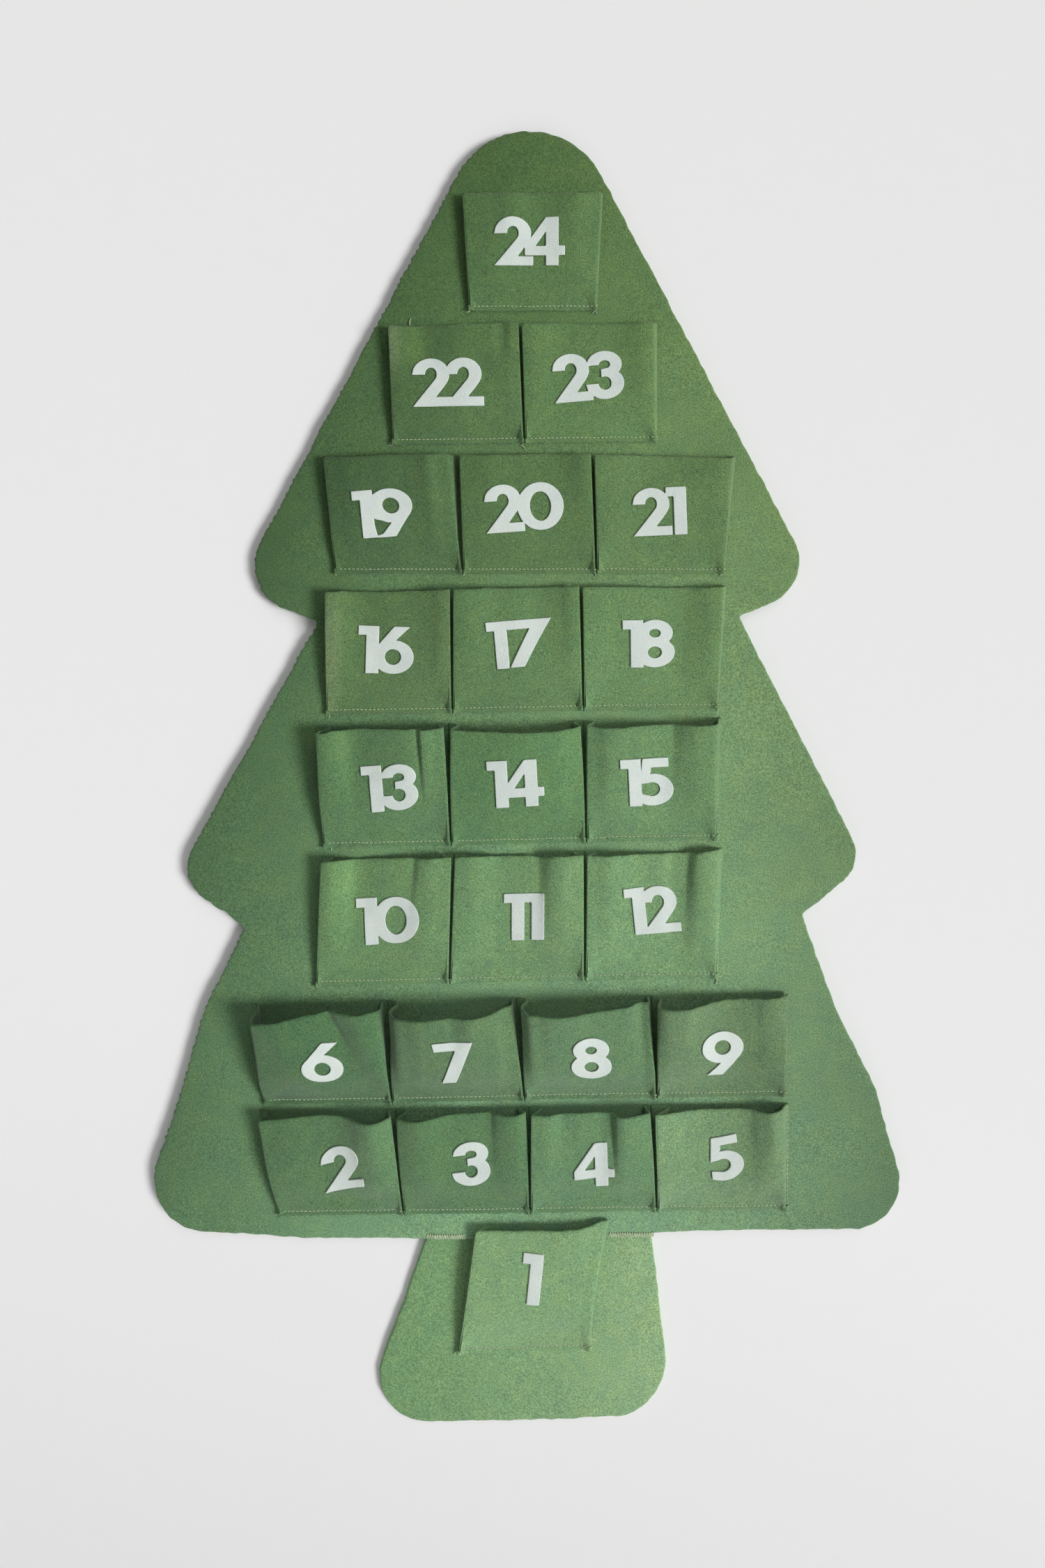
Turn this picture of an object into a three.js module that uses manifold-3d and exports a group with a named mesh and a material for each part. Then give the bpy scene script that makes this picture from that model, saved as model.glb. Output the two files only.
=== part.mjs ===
// Wall-hanging advent calendar sewn from felt: a three-tier tree with a trunk, nine pleated
// strips that make 24 day pockets, and a die-cut number on each pocket.
// Millimetres. +X is the viewer's right, +Y goes into the wall, +Z is up. The origin is the
// point of the wall that the hanging loop hangs on. The wall's face is the plane y = 0.

import * as THREE from 'three';
import { mergeVertices } from 'three/addons/utils/BufferGeometryUtils.js';
import Module from 'manifold-3d';

const wasm = await Module();
wasm.setup();

// Felt thicknesses, and the gap left between two layers that touch
const BACKING_FELT = 3;
const POCKET_FELT = 1.5;
const NUMBER_FELT = 1;
const LOOP_FELT = 1.5;
const CLEARANCE = 0.3;

// Layers from the wall towards the viewer, each the y of a front face
const TRUNK_FRONT = -BACKING_FELT;
const TREE_BACK = TRUNK_FRONT - CLEARANCE;
const TREE_FRONT = TREE_BACK - BACKING_FELT;

// Size of the whole hanging. The tables below are drawn for the drawn size, and everything
// that is placed by them follows the overall one.
const OVERALL_WIDTH = 520.7;
const OVERALL_HEIGHT = 900.3;
const DRAWN_WIDTH = 520.7;
const DRAWN_HEIGHT = 900.3;
const scaleX = (x) => (x * OVERALL_WIDTH) / DRAWN_WIDTH;
const scaleZ = (z) => (z * OVERALL_HEIGHT) / DRAWN_HEIGHT;

// Heights above the trunk's bottom edge, as drawn
const HANG_DRAWN = 868;
const HEM_DRAWN = 129;
const TAB_DRAWN = 12;
const HANG_HEIGHT = scaleZ(HANG_DRAWN);
const TREE_HEM = scaleZ(HEM_DRAWN);

// A strip is sewn down along its hem and at each post, where two pockets meet
const HEM_HEIGHT = 6;
const SEAM_RISE = 3;
const POST_MARGIN = 2;
const FOLD_GAP = 0.8;
const HEM_GAP = 1.3;

// The pleat: how far a gusset runs in behind the front, at the foot and at the mouth
const TUCK_FOOT = 3;
const TUCK_MOUTH = 8;
const FOOT_DEPTH = 3.2;
const BELLY = 0.35;
const FOOT_PINCH = 0.3;

// On the trunk, the shares of a pocket's height between which its gussets step out over the
// tree's hem
const STEP_FROM = 0.55;
const STEP_TO = 0.8;

// Rows of a pocket's surface from foot to mouth, and columns of its front between its posts.
// A fold has columns of its own, and plain ones nearer to it than FOLD_SPARE are left out.
const ROWS = [0, 0.08, 0.3, 0.55, 0.8, 1];
const PLAIN_COLUMNS = [-1, -0.5, 0, 0.5, 1];
const FOLD_SPARE = 0.1;

// Numbers: cap height, upright stroke and level stroke
const DIGIT_HEIGHT = 33;
const STEM = 8.8;
const BAR = 6.4;

// Seating a number: the spans of its pocket's front that set its lean and its turn, how far
// off it starts, and how often its gap is measured as it moves in. CUTTER_EASE is how far the
// cutter of a digit's hole runs past both faces.
const LEAN_SPAN = 0.2;
const TURN_SPAN = 0.3;
const SEAT_FROM = 15;
const SEAT_STEPS = 8;
const CUTTER_EASE = 5;

// Hanging loop: a flat felt loop sewn on behind the tip
const LOOP_HOLE_WIDTH = 14;
const LOOP_STRAP_WIDTH = 8;
const LOOP_LENGTH = 30;
const LOOP_FOOT = 12;

// Roundness of the cut edges: the largest turn between two points of an arc, in degrees
const ARC_STEP = 14;
const DIGIT_ARC_STEP = 24;

const FELT_GREEN = 0x5f7f57;
const TRUNK_GREEN = 0x84a277;
const POCKET_GREEN = 0x69875f;
const NUMBER_WHITE = 0xcdd5ce;

// Outlines, clockwise from the tip as the viewer sees them. Each corner is the point where
// its two edges would meet, with the radius that it is cut to.
const TREE_CORNERS = [
  [2, 966, 57], [202, 586, 30], [148, 563, 2], [236, 390, 24], [192, 355, 2],
  [216, 288, 120], [243, 234, 90], [271, 135.5, 33], [120, 134, 60],
  [0, HEM_DRAWN, 60], [-150, HEM_DRAWN - 0.5, 60], [-275, 137, 37], [-245, 220, 90],
  [-226, 287, 90], [-197, 346, 2], [-245, 380.5, 26], [-146, 559, 2], [-204, 582, 33],
];
const TRUNK_CORNERS = [
  [86, HEM_DRAWN + TAB_DRAWN, 8], [101, 5, 40], [0, 2, 60], [-118, 0, 33],
  [-84, 88, 80], [-66, HEM_DRAWN + TAB_DRAWN, 6],
];

// The nine strips from the top. foot and mouth give the x of each post at the strip's foot
// and at its top edge, out gives how far the front stands off the felt behind it there, and
// rise is how much higher the strip's right end sits than its left.
const STRIPS_DRAWN = [
  { days: [24], bottom: 776, height: 79, rise: 0, foot: [-41, 49], mouth: [-46, 53],
    out: [9, 9] },
  { days: [22, 23], bottom: 684, height: 81, rise: 2, foot: [-94, -2, 90],
    mouth: [-97, -5, 89], out: [10, 9, 9] },
  { days: [19, 20, 21], bottom: 593, height: 81, rise: 0, foot: [-134, -45, 48, 138],
    mouth: [-142, -48, 45, 142], out: [10, 9, 9, 9] },
  { days: [16, 17, 18], bottom: 497, height: 85, rise: 4.5, foot: [-140, -52, 39, 134],
    mouth: [-140, -52, 37, 137], out: [12, 11, 9, 9] },
  { days: [13, 14, 15], bottom: 405, height: 84, rise: 6, foot: [-142, -53, 41, 131],
    mouth: [-147, -55, 39, 131], out: [17, 12, 9, 9] },
  { days: [10, 11, 12], bottom: 309, height: 89, rise: 6, foot: [-147, -54, 40, 131],
    mouth: [-143, -51, 40, 133], out: [12, 10, 9, 9] },
  { days: [6, 7, 8, 9], bottom: 226.5, height: 70.5, rise: 6.5, foot: [-183, -94, -2, 90, 178],
    mouth: [-190, -98, -8, 86, 177], out: [24, 23, 22, 20, 14] },
  { days: [2, 3, 4, 5], bottom: 148, height: 73, rise: 4.5, foot: [-173, -86, 2, 90, 179],
    mouth: [-187, -92, 1, 86, 179], out: [14, 14, 14, 13, 11] },
  { days: [1], bottom: 54, height: 85, rise: 2.5, foot: [-48, 45], mouth: [-37, 54],
    out: [13, 11], onTrunk: true },
];
const STRIPS = STRIPS_DRAWN.map((strip) => ({
  ...strip,
  bottom: scaleZ(strip.bottom),
  height: scaleZ(strip.height),
  rise: scaleZ(strip.rise),
  foot: strip.foot.map(scaleX),
  mouth: strip.mouth.map(scaleX),
}));

// Folds that have set in a pocket's front: across is -1 at its left post and 1 at its right,
// wide is a half width on the same scale, deep is in millimetres at the mouth, sink is how
// far the mouth's edge drops there, and lean is how far the fold drifts on its way down.
const FOLDS = {
  2: [{ across: 0.45, wide: 0.3, deep: 4, sink: 5, lean: 0 }],
  3: [{ across: 0.42, wide: 0.12, deep: 3, sink: 3, lean: 0 }],
  4: [{ across: 0.38, wide: 0.14, deep: 4, sink: 4, lean: 0 }],
  5: [{ across: -0.2, wide: 0.5, deep: -2.5, sink: -3, lean: 0 }],
  6: [{ across: 0.12, wide: 0.14, deep: 4.5, sink: 3, lean: 0.3 }],
  7: [{ across: 0.08, wide: 0.14, deep: 3, sink: 1, lean: 0 }],
  8: [{ across: -0.3, wide: 0.45, deep: 2, sink: 4, lean: 0 }],
  9: [{ across: -0.45, wide: 0.35, deep: 2, sink: 3, lean: 0 }],
  10: [{ across: 0.2, wide: 0.25, deep: 2, sink: 0, lean: 0 }],
  11: [{ across: 0.3, wide: 0.25, deep: 2, sink: 0, lean: 0 }],
  12: [{ across: 0.4, wide: 0.25, deep: -1.5, sink: 0, lean: 0 }],
  13: [{ across: 0.5, wide: 0.14, deep: 3.5, sink: 0, lean: 0 }],
  22: [{ across: -0.55, wide: 0.2, deep: 1.5, sink: 0, lean: 0 }],
};

// Where each number sits: across from its pocket's middle, up from its strip's bottom edge,
// turned anticlockwise in degrees, and how far its two digits run into each other.
const NUMBERS = {
  1: [-2, 55.1, -6], 2: [7, 39.6, 7], 3: [5, 42.5, 4], 4: [1, 39.4, 3], 5: [3, 43.3, 9],
  6: [2, 38.9, 2], 7: [0, 36.3, 2], 8: [2, 36.6, 3], 9: [1, 37, 4],
  10: [3, 47.9, 2, 3.5], 11: [4, 47.9, 0, 0.5], 12: [0, 51, 6, 4], 13: [5, 43.9, 4, 2.5],
  14: [-1, 44, 3, 3], 15: [-3, 42.6, 3, 1.2], 16: [-1, 45.5, -2, 4.5], 17: [0, 48.1, 5, 1],
  18: [-3, 46.6, 1, 6], 19: [-9, 42, 5, 4], 20: [-2, 46, 4, 4.5], 21: [-2, 43, 2.5, 4],
  22: [-5, 41.6, 1, 4.8], 23: [-1, 44.5, 5, 4.5], 24: [-2, 46, 0, 6],
};

const vec = (x, y) => new THREE.Vector2(x, y);
const mix = THREE.MathUtils.lerp;
const radians = THREE.MathUtils.degToRad;

// Points of an elliptical arc between two angles in degrees, both ends included
function arc(centreX, centreY, radiusX, radiusY, from, to, step = DIGIT_ARC_STEP) {
  const count = Math.max(1, Math.ceil(Math.abs(to - from) / step - 1e-6));
  return Array.from({ length: count + 1 }, (_, i) => {
    const angle = radians(mix(from, to, i / count));
    return vec(centreX + radiusX * Math.cos(angle), centreY + radiusY * Math.sin(angle));
  });
}

// A polygon whose corners are cut to arcs that touch both of their edges
function roundedOutline(corners) {
  const points = [];
  const placed = corners.map(([x, z]) => vec(scaleX(x), scaleZ(z)));
  placed.forEach((corner, i) => {
    const radius = corners[i][2];
    const back = placed.at(i - 1).clone().sub(corner).normalize();
    const ahead = placed[(i + 1) % placed.length].clone().sub(corner).normalize();
    const half = Math.acos(THREE.MathUtils.clamp(back.dot(ahead), -1, 1)) / 2;
    const centre = back.clone().add(ahead).normalize().multiplyScalar(radius / Math.sin(half));
    centre.add(corner);
    const reach = radius / Math.tan(half);
    const first = corner.clone().addScaledVector(back, reach).sub(centre);
    const last = corner.clone().addScaledVector(ahead, reach).sub(centre);
    const from = THREE.MathUtils.radToDeg(first.angle());
    let turn = THREE.MathUtils.radToDeg(last.angle()) - from;
    turn -= 360 * Math.round(turn / 360);
    points.push(...arc(centre.x, centre.y, radius, radius, from, from + turn, ARC_STEP));
  });
  return points;
}

// A flat felt piece cut to a shape in the XZ plane, with its back at y = back
function cutFelt(shape, thickness, back) {
  const options = { depth: thickness, bevelEnabled: false };
  const geometry = new THREE.ExtrudeGeometry(shape, options);
  return geometry.rotateX(Math.PI / 2).translate(0, back, 0);
}

function toSolid(geometry) {
  const bare = geometry.clone();
  bare.deleteAttribute('normal');
  bare.deleteAttribute('uv');
  const merged = mergeVertices(bare, 1e-4);
  const vertProperties = new Float32Array(merged.getAttribute('position').array);
  const triVerts = new Uint32Array(merged.getIndex().array);
  return new wasm.Manifold(new wasm.Mesh({ numProp: 3, vertProperties, triVerts }));
}

function fromSolid(solid) {
  const mesh = solid.getMesh();
  const geometry = new THREE.BufferGeometry();
  geometry.setAttribute('position', new THREE.BufferAttribute(mesh.vertProperties, 3));
  geometry.setIndex(new THREE.BufferAttribute(mesh.triVerts, 1));
  geometry.computeVertexNormals();
  return geometry;
}

function named(name, geometry, color) {
  const material = new THREE.MeshStandardMaterial({ color, roughness: 0.95, metalness: 0 });
  const mesh = new THREE.Mesh(geometry, material);
  mesh.name = name;
  return mesh;
}

// How far a strip's slant lifts it at x
function liftAt(strip, x) {
  const left = strip.foot[0];
  return strip.rise * ((x - left) / (strip.foot.at(-1) - left) - 0.5);
}

// The strips' pockets as one list, each with its two posts
function pocketsOf(strip) {
  const back = strip.onTrunk ? TRUNK_FRONT : TREE_FRONT;
  return strip.days.map((day, i) => ({
    day,
    strip,
    folds: FOLDS[day] ?? [],
    bottom: strip.bottom + SEAM_RISE,
    height: strip.height - SEAM_RISE,
    foot: [strip.foot[i] + FOLD_GAP / 2, strip.foot[i + 1] - FOLD_GAP / 2],
    mouth: [strip.mouth[i] + FOLD_GAP / 2, strip.mouth[i + 1] - FOLD_GAP / 2],
    out: [strip.out[i], strip.out[i + 1]],
    seat: back - POCKET_FELT - 2 * CLEARANCE,
    topSeat: strip.onTrunk ? TREE_FRONT - CLEARANCE : back - POCKET_FELT - 2 * CLEARANCE,
    face: strip.onTrunk ? TRUNK_FRONT : TREE_FRONT,
  }));
}

// The plane that a pocket's gussets are sewn to. On the trunk it steps out over the tree's
// hem, which the pocket's upper part covers.
function seatAt(pocket, up) {
  const share = THREE.MathUtils.clamp((up - STEP_FROM) / (STEP_TO - STEP_FROM), 0, 1);
  return mix(pocket.seat, pocket.topSeat, share);
}

// A smooth bump, 1 in the middle and 0 past its half width
function bump(distance, halfWidth) {
  const share = Math.min(1, Math.abs(distance) / halfWidth);
  return (1 - share * share) ** 2;
}

// A point on the outside of a pocket's front. across runs from -1 to 1 between its posts and
// up from 0 at the seam to 1 at the mouth. The front leans out in a shallow belly.
function frontPoint(pocket, across, up) {
  const side = (across + 1) / 2;
  const foot = pocket.seat - FOOT_DEPTH;
  const reach = pocket.face - mix(pocket.out[0], pocket.out[1], side) - foot;
  let y = foot + reach * (up * (1 + BELLY) - BELLY * up * up);
  const rise = Math.sqrt(pocket.height ** 2 - reach ** 2);
  let z = pocket.bottom + rise * up;
  for (const fold of pocket.folds) {
    const shape = bump(across - fold.across - fold.lean * (1 - up), fold.wide);
    y += fold.deep * shape * up;
    z -= fold.sink * shape * up ** 3;
  }
  const left = mix(pocket.foot[0], pocket.mouth[0], up);
  const right = mix(pocket.foot[1], pocket.mouth[1], up);
  const x = mix(left, right, side);
  return new THREE.Vector3(x, y, z + liftAt(pocket.strip, x));
}

// Columns of the front: evenly spaced, with three more at each fold
function frontColumns(pocket, up) {
  const crease = pocket.folds.flatMap(({ across, wide, lean }) => {
    const middle = across + lean * (1 - up);
    return [middle - wide, middle, middle + wide];
  });
  const clear = (s) => Math.abs(s) === 1 || pocket.folds.every(({ across, wide, lean }) =>
    s < across - wide - FOLD_SPARE || s > across + wide + lean + FOLD_SPARE);
  return [...PLAIN_COLUMNS.filter(clear), ...crease].sort((a, b) => a - b);
}

// Inner line of a row: the outer line moved in by one felt thickness, with mitred folds
function offsetRow(row, thickness) {
  const normals = row.slice(1).map((point, i) => {
    const run = vec(point.x - row[i].x, point.y - row[i].y).normalize();
    return vec(-run.y, run.x);
  });
  return row.map((point, i) => {
    const a = normals[Math.max(0, i - 1)];
    const b = normals[Math.min(normals.length - 1, i)];
    const mitre = a.clone().add(b).multiplyScalar(thickness / (1 + a.dot(b)));
    return new THREE.Vector3(point.x + mitre.x, point.y + mitre.y, point.z);
  });
}

// A pocket: its front and its two gussets as one bent piece of felt, closed at the foot
function pocketRows(pocket) {
  return ROWS.map((up) => {
    const front = frontColumns(pocket, up).map((s) => frontPoint(pocket, s, up));
    const tuck = up === 0 ? 0 : mix(TUCK_FOOT, TUCK_MOUTH, up);
    const seat = seatAt(pocket, up);
    const back = (x) =>
      new THREE.Vector3(x, seat, pocket.bottom + pocket.height * up + liftAt(pocket.strip, x));
    return [back(front[0].x + tuck), ...front, back(front.at(-1).x - tuck)];
  });
}

function pocketGeometry(pocket) {
  const outer = pocketRows(pocket);
  const inner = outer.map((row, r) => {
    const line = offsetRow(row, POCKET_FELT);
    if (r > 0) return line;
    return line.map(({ x, y, z }) =>
      new THREE.Vector3(x, mix(pocket.seat, y, FOOT_PINCH), z + POCKET_FELT));
  });
  const rows = outer.length;
  const columns = outer[0].length;
  const points = [...outer.flat(), ...inner.flat()];
  const at = (layer, r, c) => (layer * rows + r) * columns + c;
  const index = [];
  const quad = (a, b, c, d) => index.push(a, b, c, a, c, d);
  for (let r = 0; r < rows - 1; r++) {
    for (let c = 0; c < columns - 1; c++) {
      quad(at(0, r, c), at(0, r, c + 1), at(0, r + 1, c + 1), at(0, r + 1, c));
      quad(at(1, r, c), at(1, r + 1, c), at(1, r + 1, c + 1), at(1, r, c + 1));
    }
    quad(at(0, r, 0), at(0, r + 1, 0), at(1, r + 1, 0), at(1, r, 0));
    const last = columns - 1;
    quad(at(0, r, last), at(1, r, last), at(1, r + 1, last), at(0, r + 1, last));
  }
  for (let c = 0; c < columns - 1; c++) {
    quad(at(0, 0, c), at(1, 0, c), at(1, 0, c + 1), at(0, 0, c + 1));
    const top = rows - 1;
    quad(at(0, top, c), at(0, top, c + 1), at(1, top, c + 1), at(1, top, c));
  }
  const geometry = new THREE.BufferGeometry().setFromPoints(points);
  geometry.setIndex(index);
  geometry.computeVertexNormals();
  return geometry;
}

// The sewn edge of a strip: its hem, and a post of felt behind each pleat
function bandShape(strip) {
  const lean = Math.abs(strip.rise) / 2;
  const top = strip.onTrunk ? TREE_HEM - HEM_GAP - lean : strip.bottom + strip.height;
  const share = (top - strip.bottom) / strip.height;
  const half = TUCK_MOUTH + POST_MARGIN;
  const hemTop = strip.bottom + HEM_HEIGHT;
  const last = strip.foot.length - 1;
  const points = [vec(strip.foot[0], strip.bottom), vec(strip.foot[last], strip.bottom)];
  for (let i = last; i >= 0; i--) {
    const foot = strip.foot[i];
    const head = mix(foot, strip.mouth[i], share);
    const right = i === last ? 0 : half;
    const left = i === 0 ? 0 : half;
    if (right) points.push(vec(foot + right, hemTop));
    points.push(vec(head + right, top), vec(head - left, top));
    if (left) points.push(vec(foot - left, hemTop));
  }
  return new THREE.Shape(points.map(({ x, y }) => vec(x, y + liftAt(strip, x))));
}

// Digits, each a list of filled outlines and the holes cut out of them. They stand on y = 0
// with their left edge near x = 0.
const H = DIGIT_HEIGHT;
const polygon = (...pairs) => pairs.map(([x, y]) => vec(x, y));
const SIX = {
  width: 28.6,
  fill: [
    arc(14.3, 11.8, 14.3, 11.8, 0, 360).slice(1),
    polygon([0.8, 16], [4, 13], [12, 18.6], [15.2, H - 10.5], [25.8, H], [14.8, H]),
  ],
  holes: [arc(14.3, 11.8, 14.3 - STEM, 11.8 - BAR, 0, 360).slice(1)],
};
const turned = (outline, width) => outline.map(({ x, y }) => vec(width - x, H - y));
const DIGITS = {
  0: {
    width: 32,
    fill: [arc(16, H / 2, 16, H / 2, 0, 360).slice(1)],
    holes: [arc(16, H / 2, 16 - STEM, H / 2 - BAR, 0, 360).slice(1)],
  },
  1: {
    width: 14.2,
    fill: [polygon([14.2 - STEM, 0], [14.2, 0], [14.2, H], [0, H], [0, H - BAR],
      [14.2 - STEM, H - BAR])],
    holes: [],
  },
  2: {
    width: 27,
    fill: [[...polygon([0, 0], [27, 0], [27, BAR], [16.1, BAR]),
      ...arc(12.8, H - 11.2, 12.8, 11.2, -35, 180),
      ...arc(12.8, H - 11.2, 12.8 - STEM, 11.2 - BAR, 180, -42)]],
    holes: [],
  },
  3: {
    width: 26.4,
    fill: [
      [...arc(13.6, H - 9.4, 12.1, 9.4, -75, 180),
        ...arc(13.8, H - 9.4, 3.8, 9.4 - BAR, 180, -90), ...polygon([11, 20.7], [11, 17])],
      [...arc(13.2, 10.9, 13.2, 10.9, -180, 75),
        ...polygon([11, 20.7], [11, 15.1]), ...arc(13.2, 11, 4.4, 10.9 - BAR, 90, -180)],
      polygon([16, 16], [22, 16], [22, 20], [16, 20]),
    ],
    holes: [],
  },
  4: {
    width: 27.8,
    fill: [polygon([0, 7], [14.6, 7], [14.6, 0], [23.4, 0], [23.4, 7], [27.8, 7],
      [27.8, 7 + BAR], [23.4, 7 + BAR], [23.4, H], [14.6, H], [0, 7 + BAR])],
    holes: [polygon([7.4, 7 + BAR], [14.6, 7 + BAR], [14.6, 23.4])],
  },
  5: {
    width: 22.9,
    fill: [[...arc(8.7, 11.2, 14.2, 11.2, -128, 100),
      ...polygon([7.8, 22.5], [8.1, H - BAR], [20.3, H - BAR], [20.3, H], [2.4, H], [0, 15.6]),
      ...arc(8.3, 11.6, 14.2 - STEM, 11.2 - BAR, 115, -115),
      ...polygon([0, 8.6])]],
    holes: [],
  },
  6: SIX,
  7: {
    width: 27.8,
    fill: [polygon([5.4, 0], [15.2, 0], [27.8, H], [0, H], [1.2, H - BAR], [15.6, H - BAR])],
    holes: [],
  },
  8: {
    width: 27.6,
    fill: [
      arc(14, H - 9.3, 12.4, 9.3, 0, 360).slice(1),
      arc(13.8, 10.6, 13.8, 10.6, 0, 360).slice(1),
    ],
    holes: [
      arc(14, H - 9.3, 3.9, 9.3 - BAR, 0, 360).slice(1),
      arc(13.8, 10.4, 4.8, 10.4 - BAR, 0, 360).slice(1),
    ],
  },
  9: {
    width: SIX.width,
    fill: SIX.fill.map((outline) => turned(outline, SIX.width)),
    holes: SIX.holes.map((outline) => turned(outline, SIX.width)),
  },
};

function digitSolid({ fill, holes }) {
  const slab = (outline, spare) => {
    const shape = new THREE.Shape(outline);
    return toSolid(cutFelt(shape, NUMBER_FELT + 2 * spare, spare));
  };
  const solid = fill.map((outline) => slab(outline, 0)).reduce((a, b) => a.add(b));
  return holes.reduce((rest, outline) => rest.subtract(slab(outline, CUTTER_EASE)), solid);
}

// A day's number as one flat piece, centred on its own middle, with its back at y = 0
function numberSolid(day, overlap = 0) {
  let reach = 0;
  let solid = null;
  for (const digit of String(day)) {
    const glyph = DIGITS[digit];
    const placed = digitSolid(glyph).translate([reach, 0, 0]);
    solid = solid ? solid.add(placed) : placed;
    reach += glyph.width - overlap;
  }
  return solid.translate([-(reach + overlap) / 2, 0, -H / 2]);
}

// Seats a number flat on its pocket: it leans and turns with the front at its middle, and
// moves in until its nearest point is one clearance off the front
function seatNumber(number, pocket, solids, [shift, up, tilt]) {
  const halfWidth = (pocket.foot[1] - pocket.foot[0]) / 2;
  const across = scaleX(shift) / halfWidth;
  const share = (scaleZ(up) - SEAM_RISE) / pocket.height;
  const middle = frontPoint(pocket, across, share);
  const above = frontPoint(pocket, across, share + LEAN_SPAN);
  const rise = above.sub(frontPoint(pocket, across, share - LEAN_SPAN));
  const right = frontPoint(pocket, across + TURN_SPAN, share);
  const run = right.sub(frontPoint(pocket, across - TURN_SPAN, share));
  const lean = Math.atan2(-rise.y, rise.z);
  number.rotation.set(lean, -radians(tilt), Math.atan2(run.y, run.x), 'ZXY');
  const outward = new THREE.Vector3(0, -1, 0).applyEuler(number.rotation);
  number.position.copy(middle).addScaledVector(outward, SEAT_FROM);
  for (let i = 0; i < SEAT_STEPS; i++) {
    number.updateMatrix();
    const placed = solids.number.transform(number.matrix.elements);
    const gap = placed.minGap(solids.pocket, 2 * SEAT_FROM);
    number.position.addScaledVector(outward, CLEARANCE - gap);
  }
}

// The hanging loop lies flat behind the tip. Its hole is a slot with a round top that the
// wall's hook goes into, and the felt below the slot is sewn to the tree.
function loopShape() {
  const holeRadius = LOOP_HOLE_WIDTH / 2;
  const outside = holeRadius + LOOP_STRAP_WIDTH;
  const arch = (radius) => arc(0, HANG_HEIGHT - holeRadius, radius, radius, 0, 180, ARC_STEP);
  const slotEnd = HANG_HEIGHT - LOOP_LENGTH;
  const bottom = slotEnd - LOOP_FOOT;
  const shape = new THREE.Shape([...arch(outside), vec(-outside, bottom), vec(outside, bottom)]);
  const slot = [...arch(holeRadius), vec(-holeRadius, slotEnd), vec(holeRadius, slotEnd)];
  shape.holes.push(new THREE.Path(slot));
  return shape;
}

const calendar = new THREE.Group();
calendar.position.z = -HANG_HEIGHT;

const treeShape = new THREE.Shape(roundedOutline(TREE_CORNERS));
calendar.add(named('tree_backing', cutFelt(treeShape, BACKING_FELT, TREE_BACK), FELT_GREEN));
const trunkShape = new THREE.Shape(roundedOutline(TRUNK_CORNERS));
calendar.add(named('trunk_panel', cutFelt(trunkShape, BACKING_FELT, 0), TRUNK_GREEN));
const loopBack = TREE_BACK + CLEARANCE + LOOP_FELT;
calendar.add(named('hanging_loop', cutFelt(loopShape(), LOOP_FELT, loopBack), FELT_GREEN));

for (const strip of STRIPS) {
  const pockets = pocketsOf(strip);
  const first = String(strip.days[0]).padStart(2, '0');
  const last = String(strip.days.at(-1)).padStart(2, '0');
  const bandBack = pockets[0].face - CLEARANCE;
  const band = cutFelt(bandShape(strip), POCKET_FELT, bandBack);
  calendar.add(named(`strip_band_${first}_${last}`, band, POCKET_GREEN));
  for (const pocket of pockets) {
    const day = String(pocket.day).padStart(2, '0');
    const geometry = pocketGeometry(pocket);
    calendar.add(named(`pocket_${day}`, geometry, POCKET_GREEN));
    const [shift, up, tilt, overlap] = NUMBERS[pocket.day];
    const solids = { pocket: toSolid(geometry), number: numberSolid(pocket.day, overlap) };
    const number = named(`number_${day}`, fromSolid(solids.number), NUMBER_WHITE);
    seatNumber(number, pocket, solids, [shift, up, tilt]);
    calendar.add(number);
  }
}

export default calendar;
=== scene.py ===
"""Felt tree advent calendar, dressed for looks: thick cut felt for the tree and its trunk, nine
pleated strips that make 24 pockets, a die-cut number on each, and the thread that holds it.

Shapes are worked out in millimetres, with heights above the trunk's bottom edge, and how far
a surface stands off the tree's front is called its depth. to_frame puts them in the row frame.
"""

from types import SimpleNamespace

import bpy
import numpy as np
from bpy.props import FloatProperty, FloatVectorProperty, PointerProperty
from mathutils.geometry import delaunay_2d_cdt
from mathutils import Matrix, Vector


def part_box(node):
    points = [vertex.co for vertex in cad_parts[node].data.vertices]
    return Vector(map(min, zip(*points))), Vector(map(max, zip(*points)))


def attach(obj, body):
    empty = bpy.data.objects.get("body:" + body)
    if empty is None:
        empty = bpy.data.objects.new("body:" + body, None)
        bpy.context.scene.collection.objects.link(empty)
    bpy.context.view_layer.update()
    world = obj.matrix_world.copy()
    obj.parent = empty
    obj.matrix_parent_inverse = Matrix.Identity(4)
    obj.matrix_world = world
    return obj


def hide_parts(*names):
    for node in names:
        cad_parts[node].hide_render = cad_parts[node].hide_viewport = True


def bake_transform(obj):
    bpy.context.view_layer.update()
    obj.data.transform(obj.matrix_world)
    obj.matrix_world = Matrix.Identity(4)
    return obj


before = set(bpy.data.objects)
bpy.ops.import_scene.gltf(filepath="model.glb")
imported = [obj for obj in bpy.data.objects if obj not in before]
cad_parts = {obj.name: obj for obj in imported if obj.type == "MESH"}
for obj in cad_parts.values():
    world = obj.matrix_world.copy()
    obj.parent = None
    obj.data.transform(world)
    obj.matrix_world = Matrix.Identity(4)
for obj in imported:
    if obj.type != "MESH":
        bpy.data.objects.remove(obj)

bl_info = {
    "name": "Felt tree advent calendar",
    "version": (1, 0, 0),
    "blender": (4, 2, 0),
    "location": "3D View > Sidebar > Felt calendar",
    "description": "Makes a felt tree wall hanging with 24 pleated, numbered pockets",
    "category": "Add Mesh",
}

# Height of the hanging point, which is the frame's origin, and y of the two front faces
HANG_HEIGHT = 868.0
TREE_FRONT = -6.3
TRUNK_FRONT = -3.0
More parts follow.
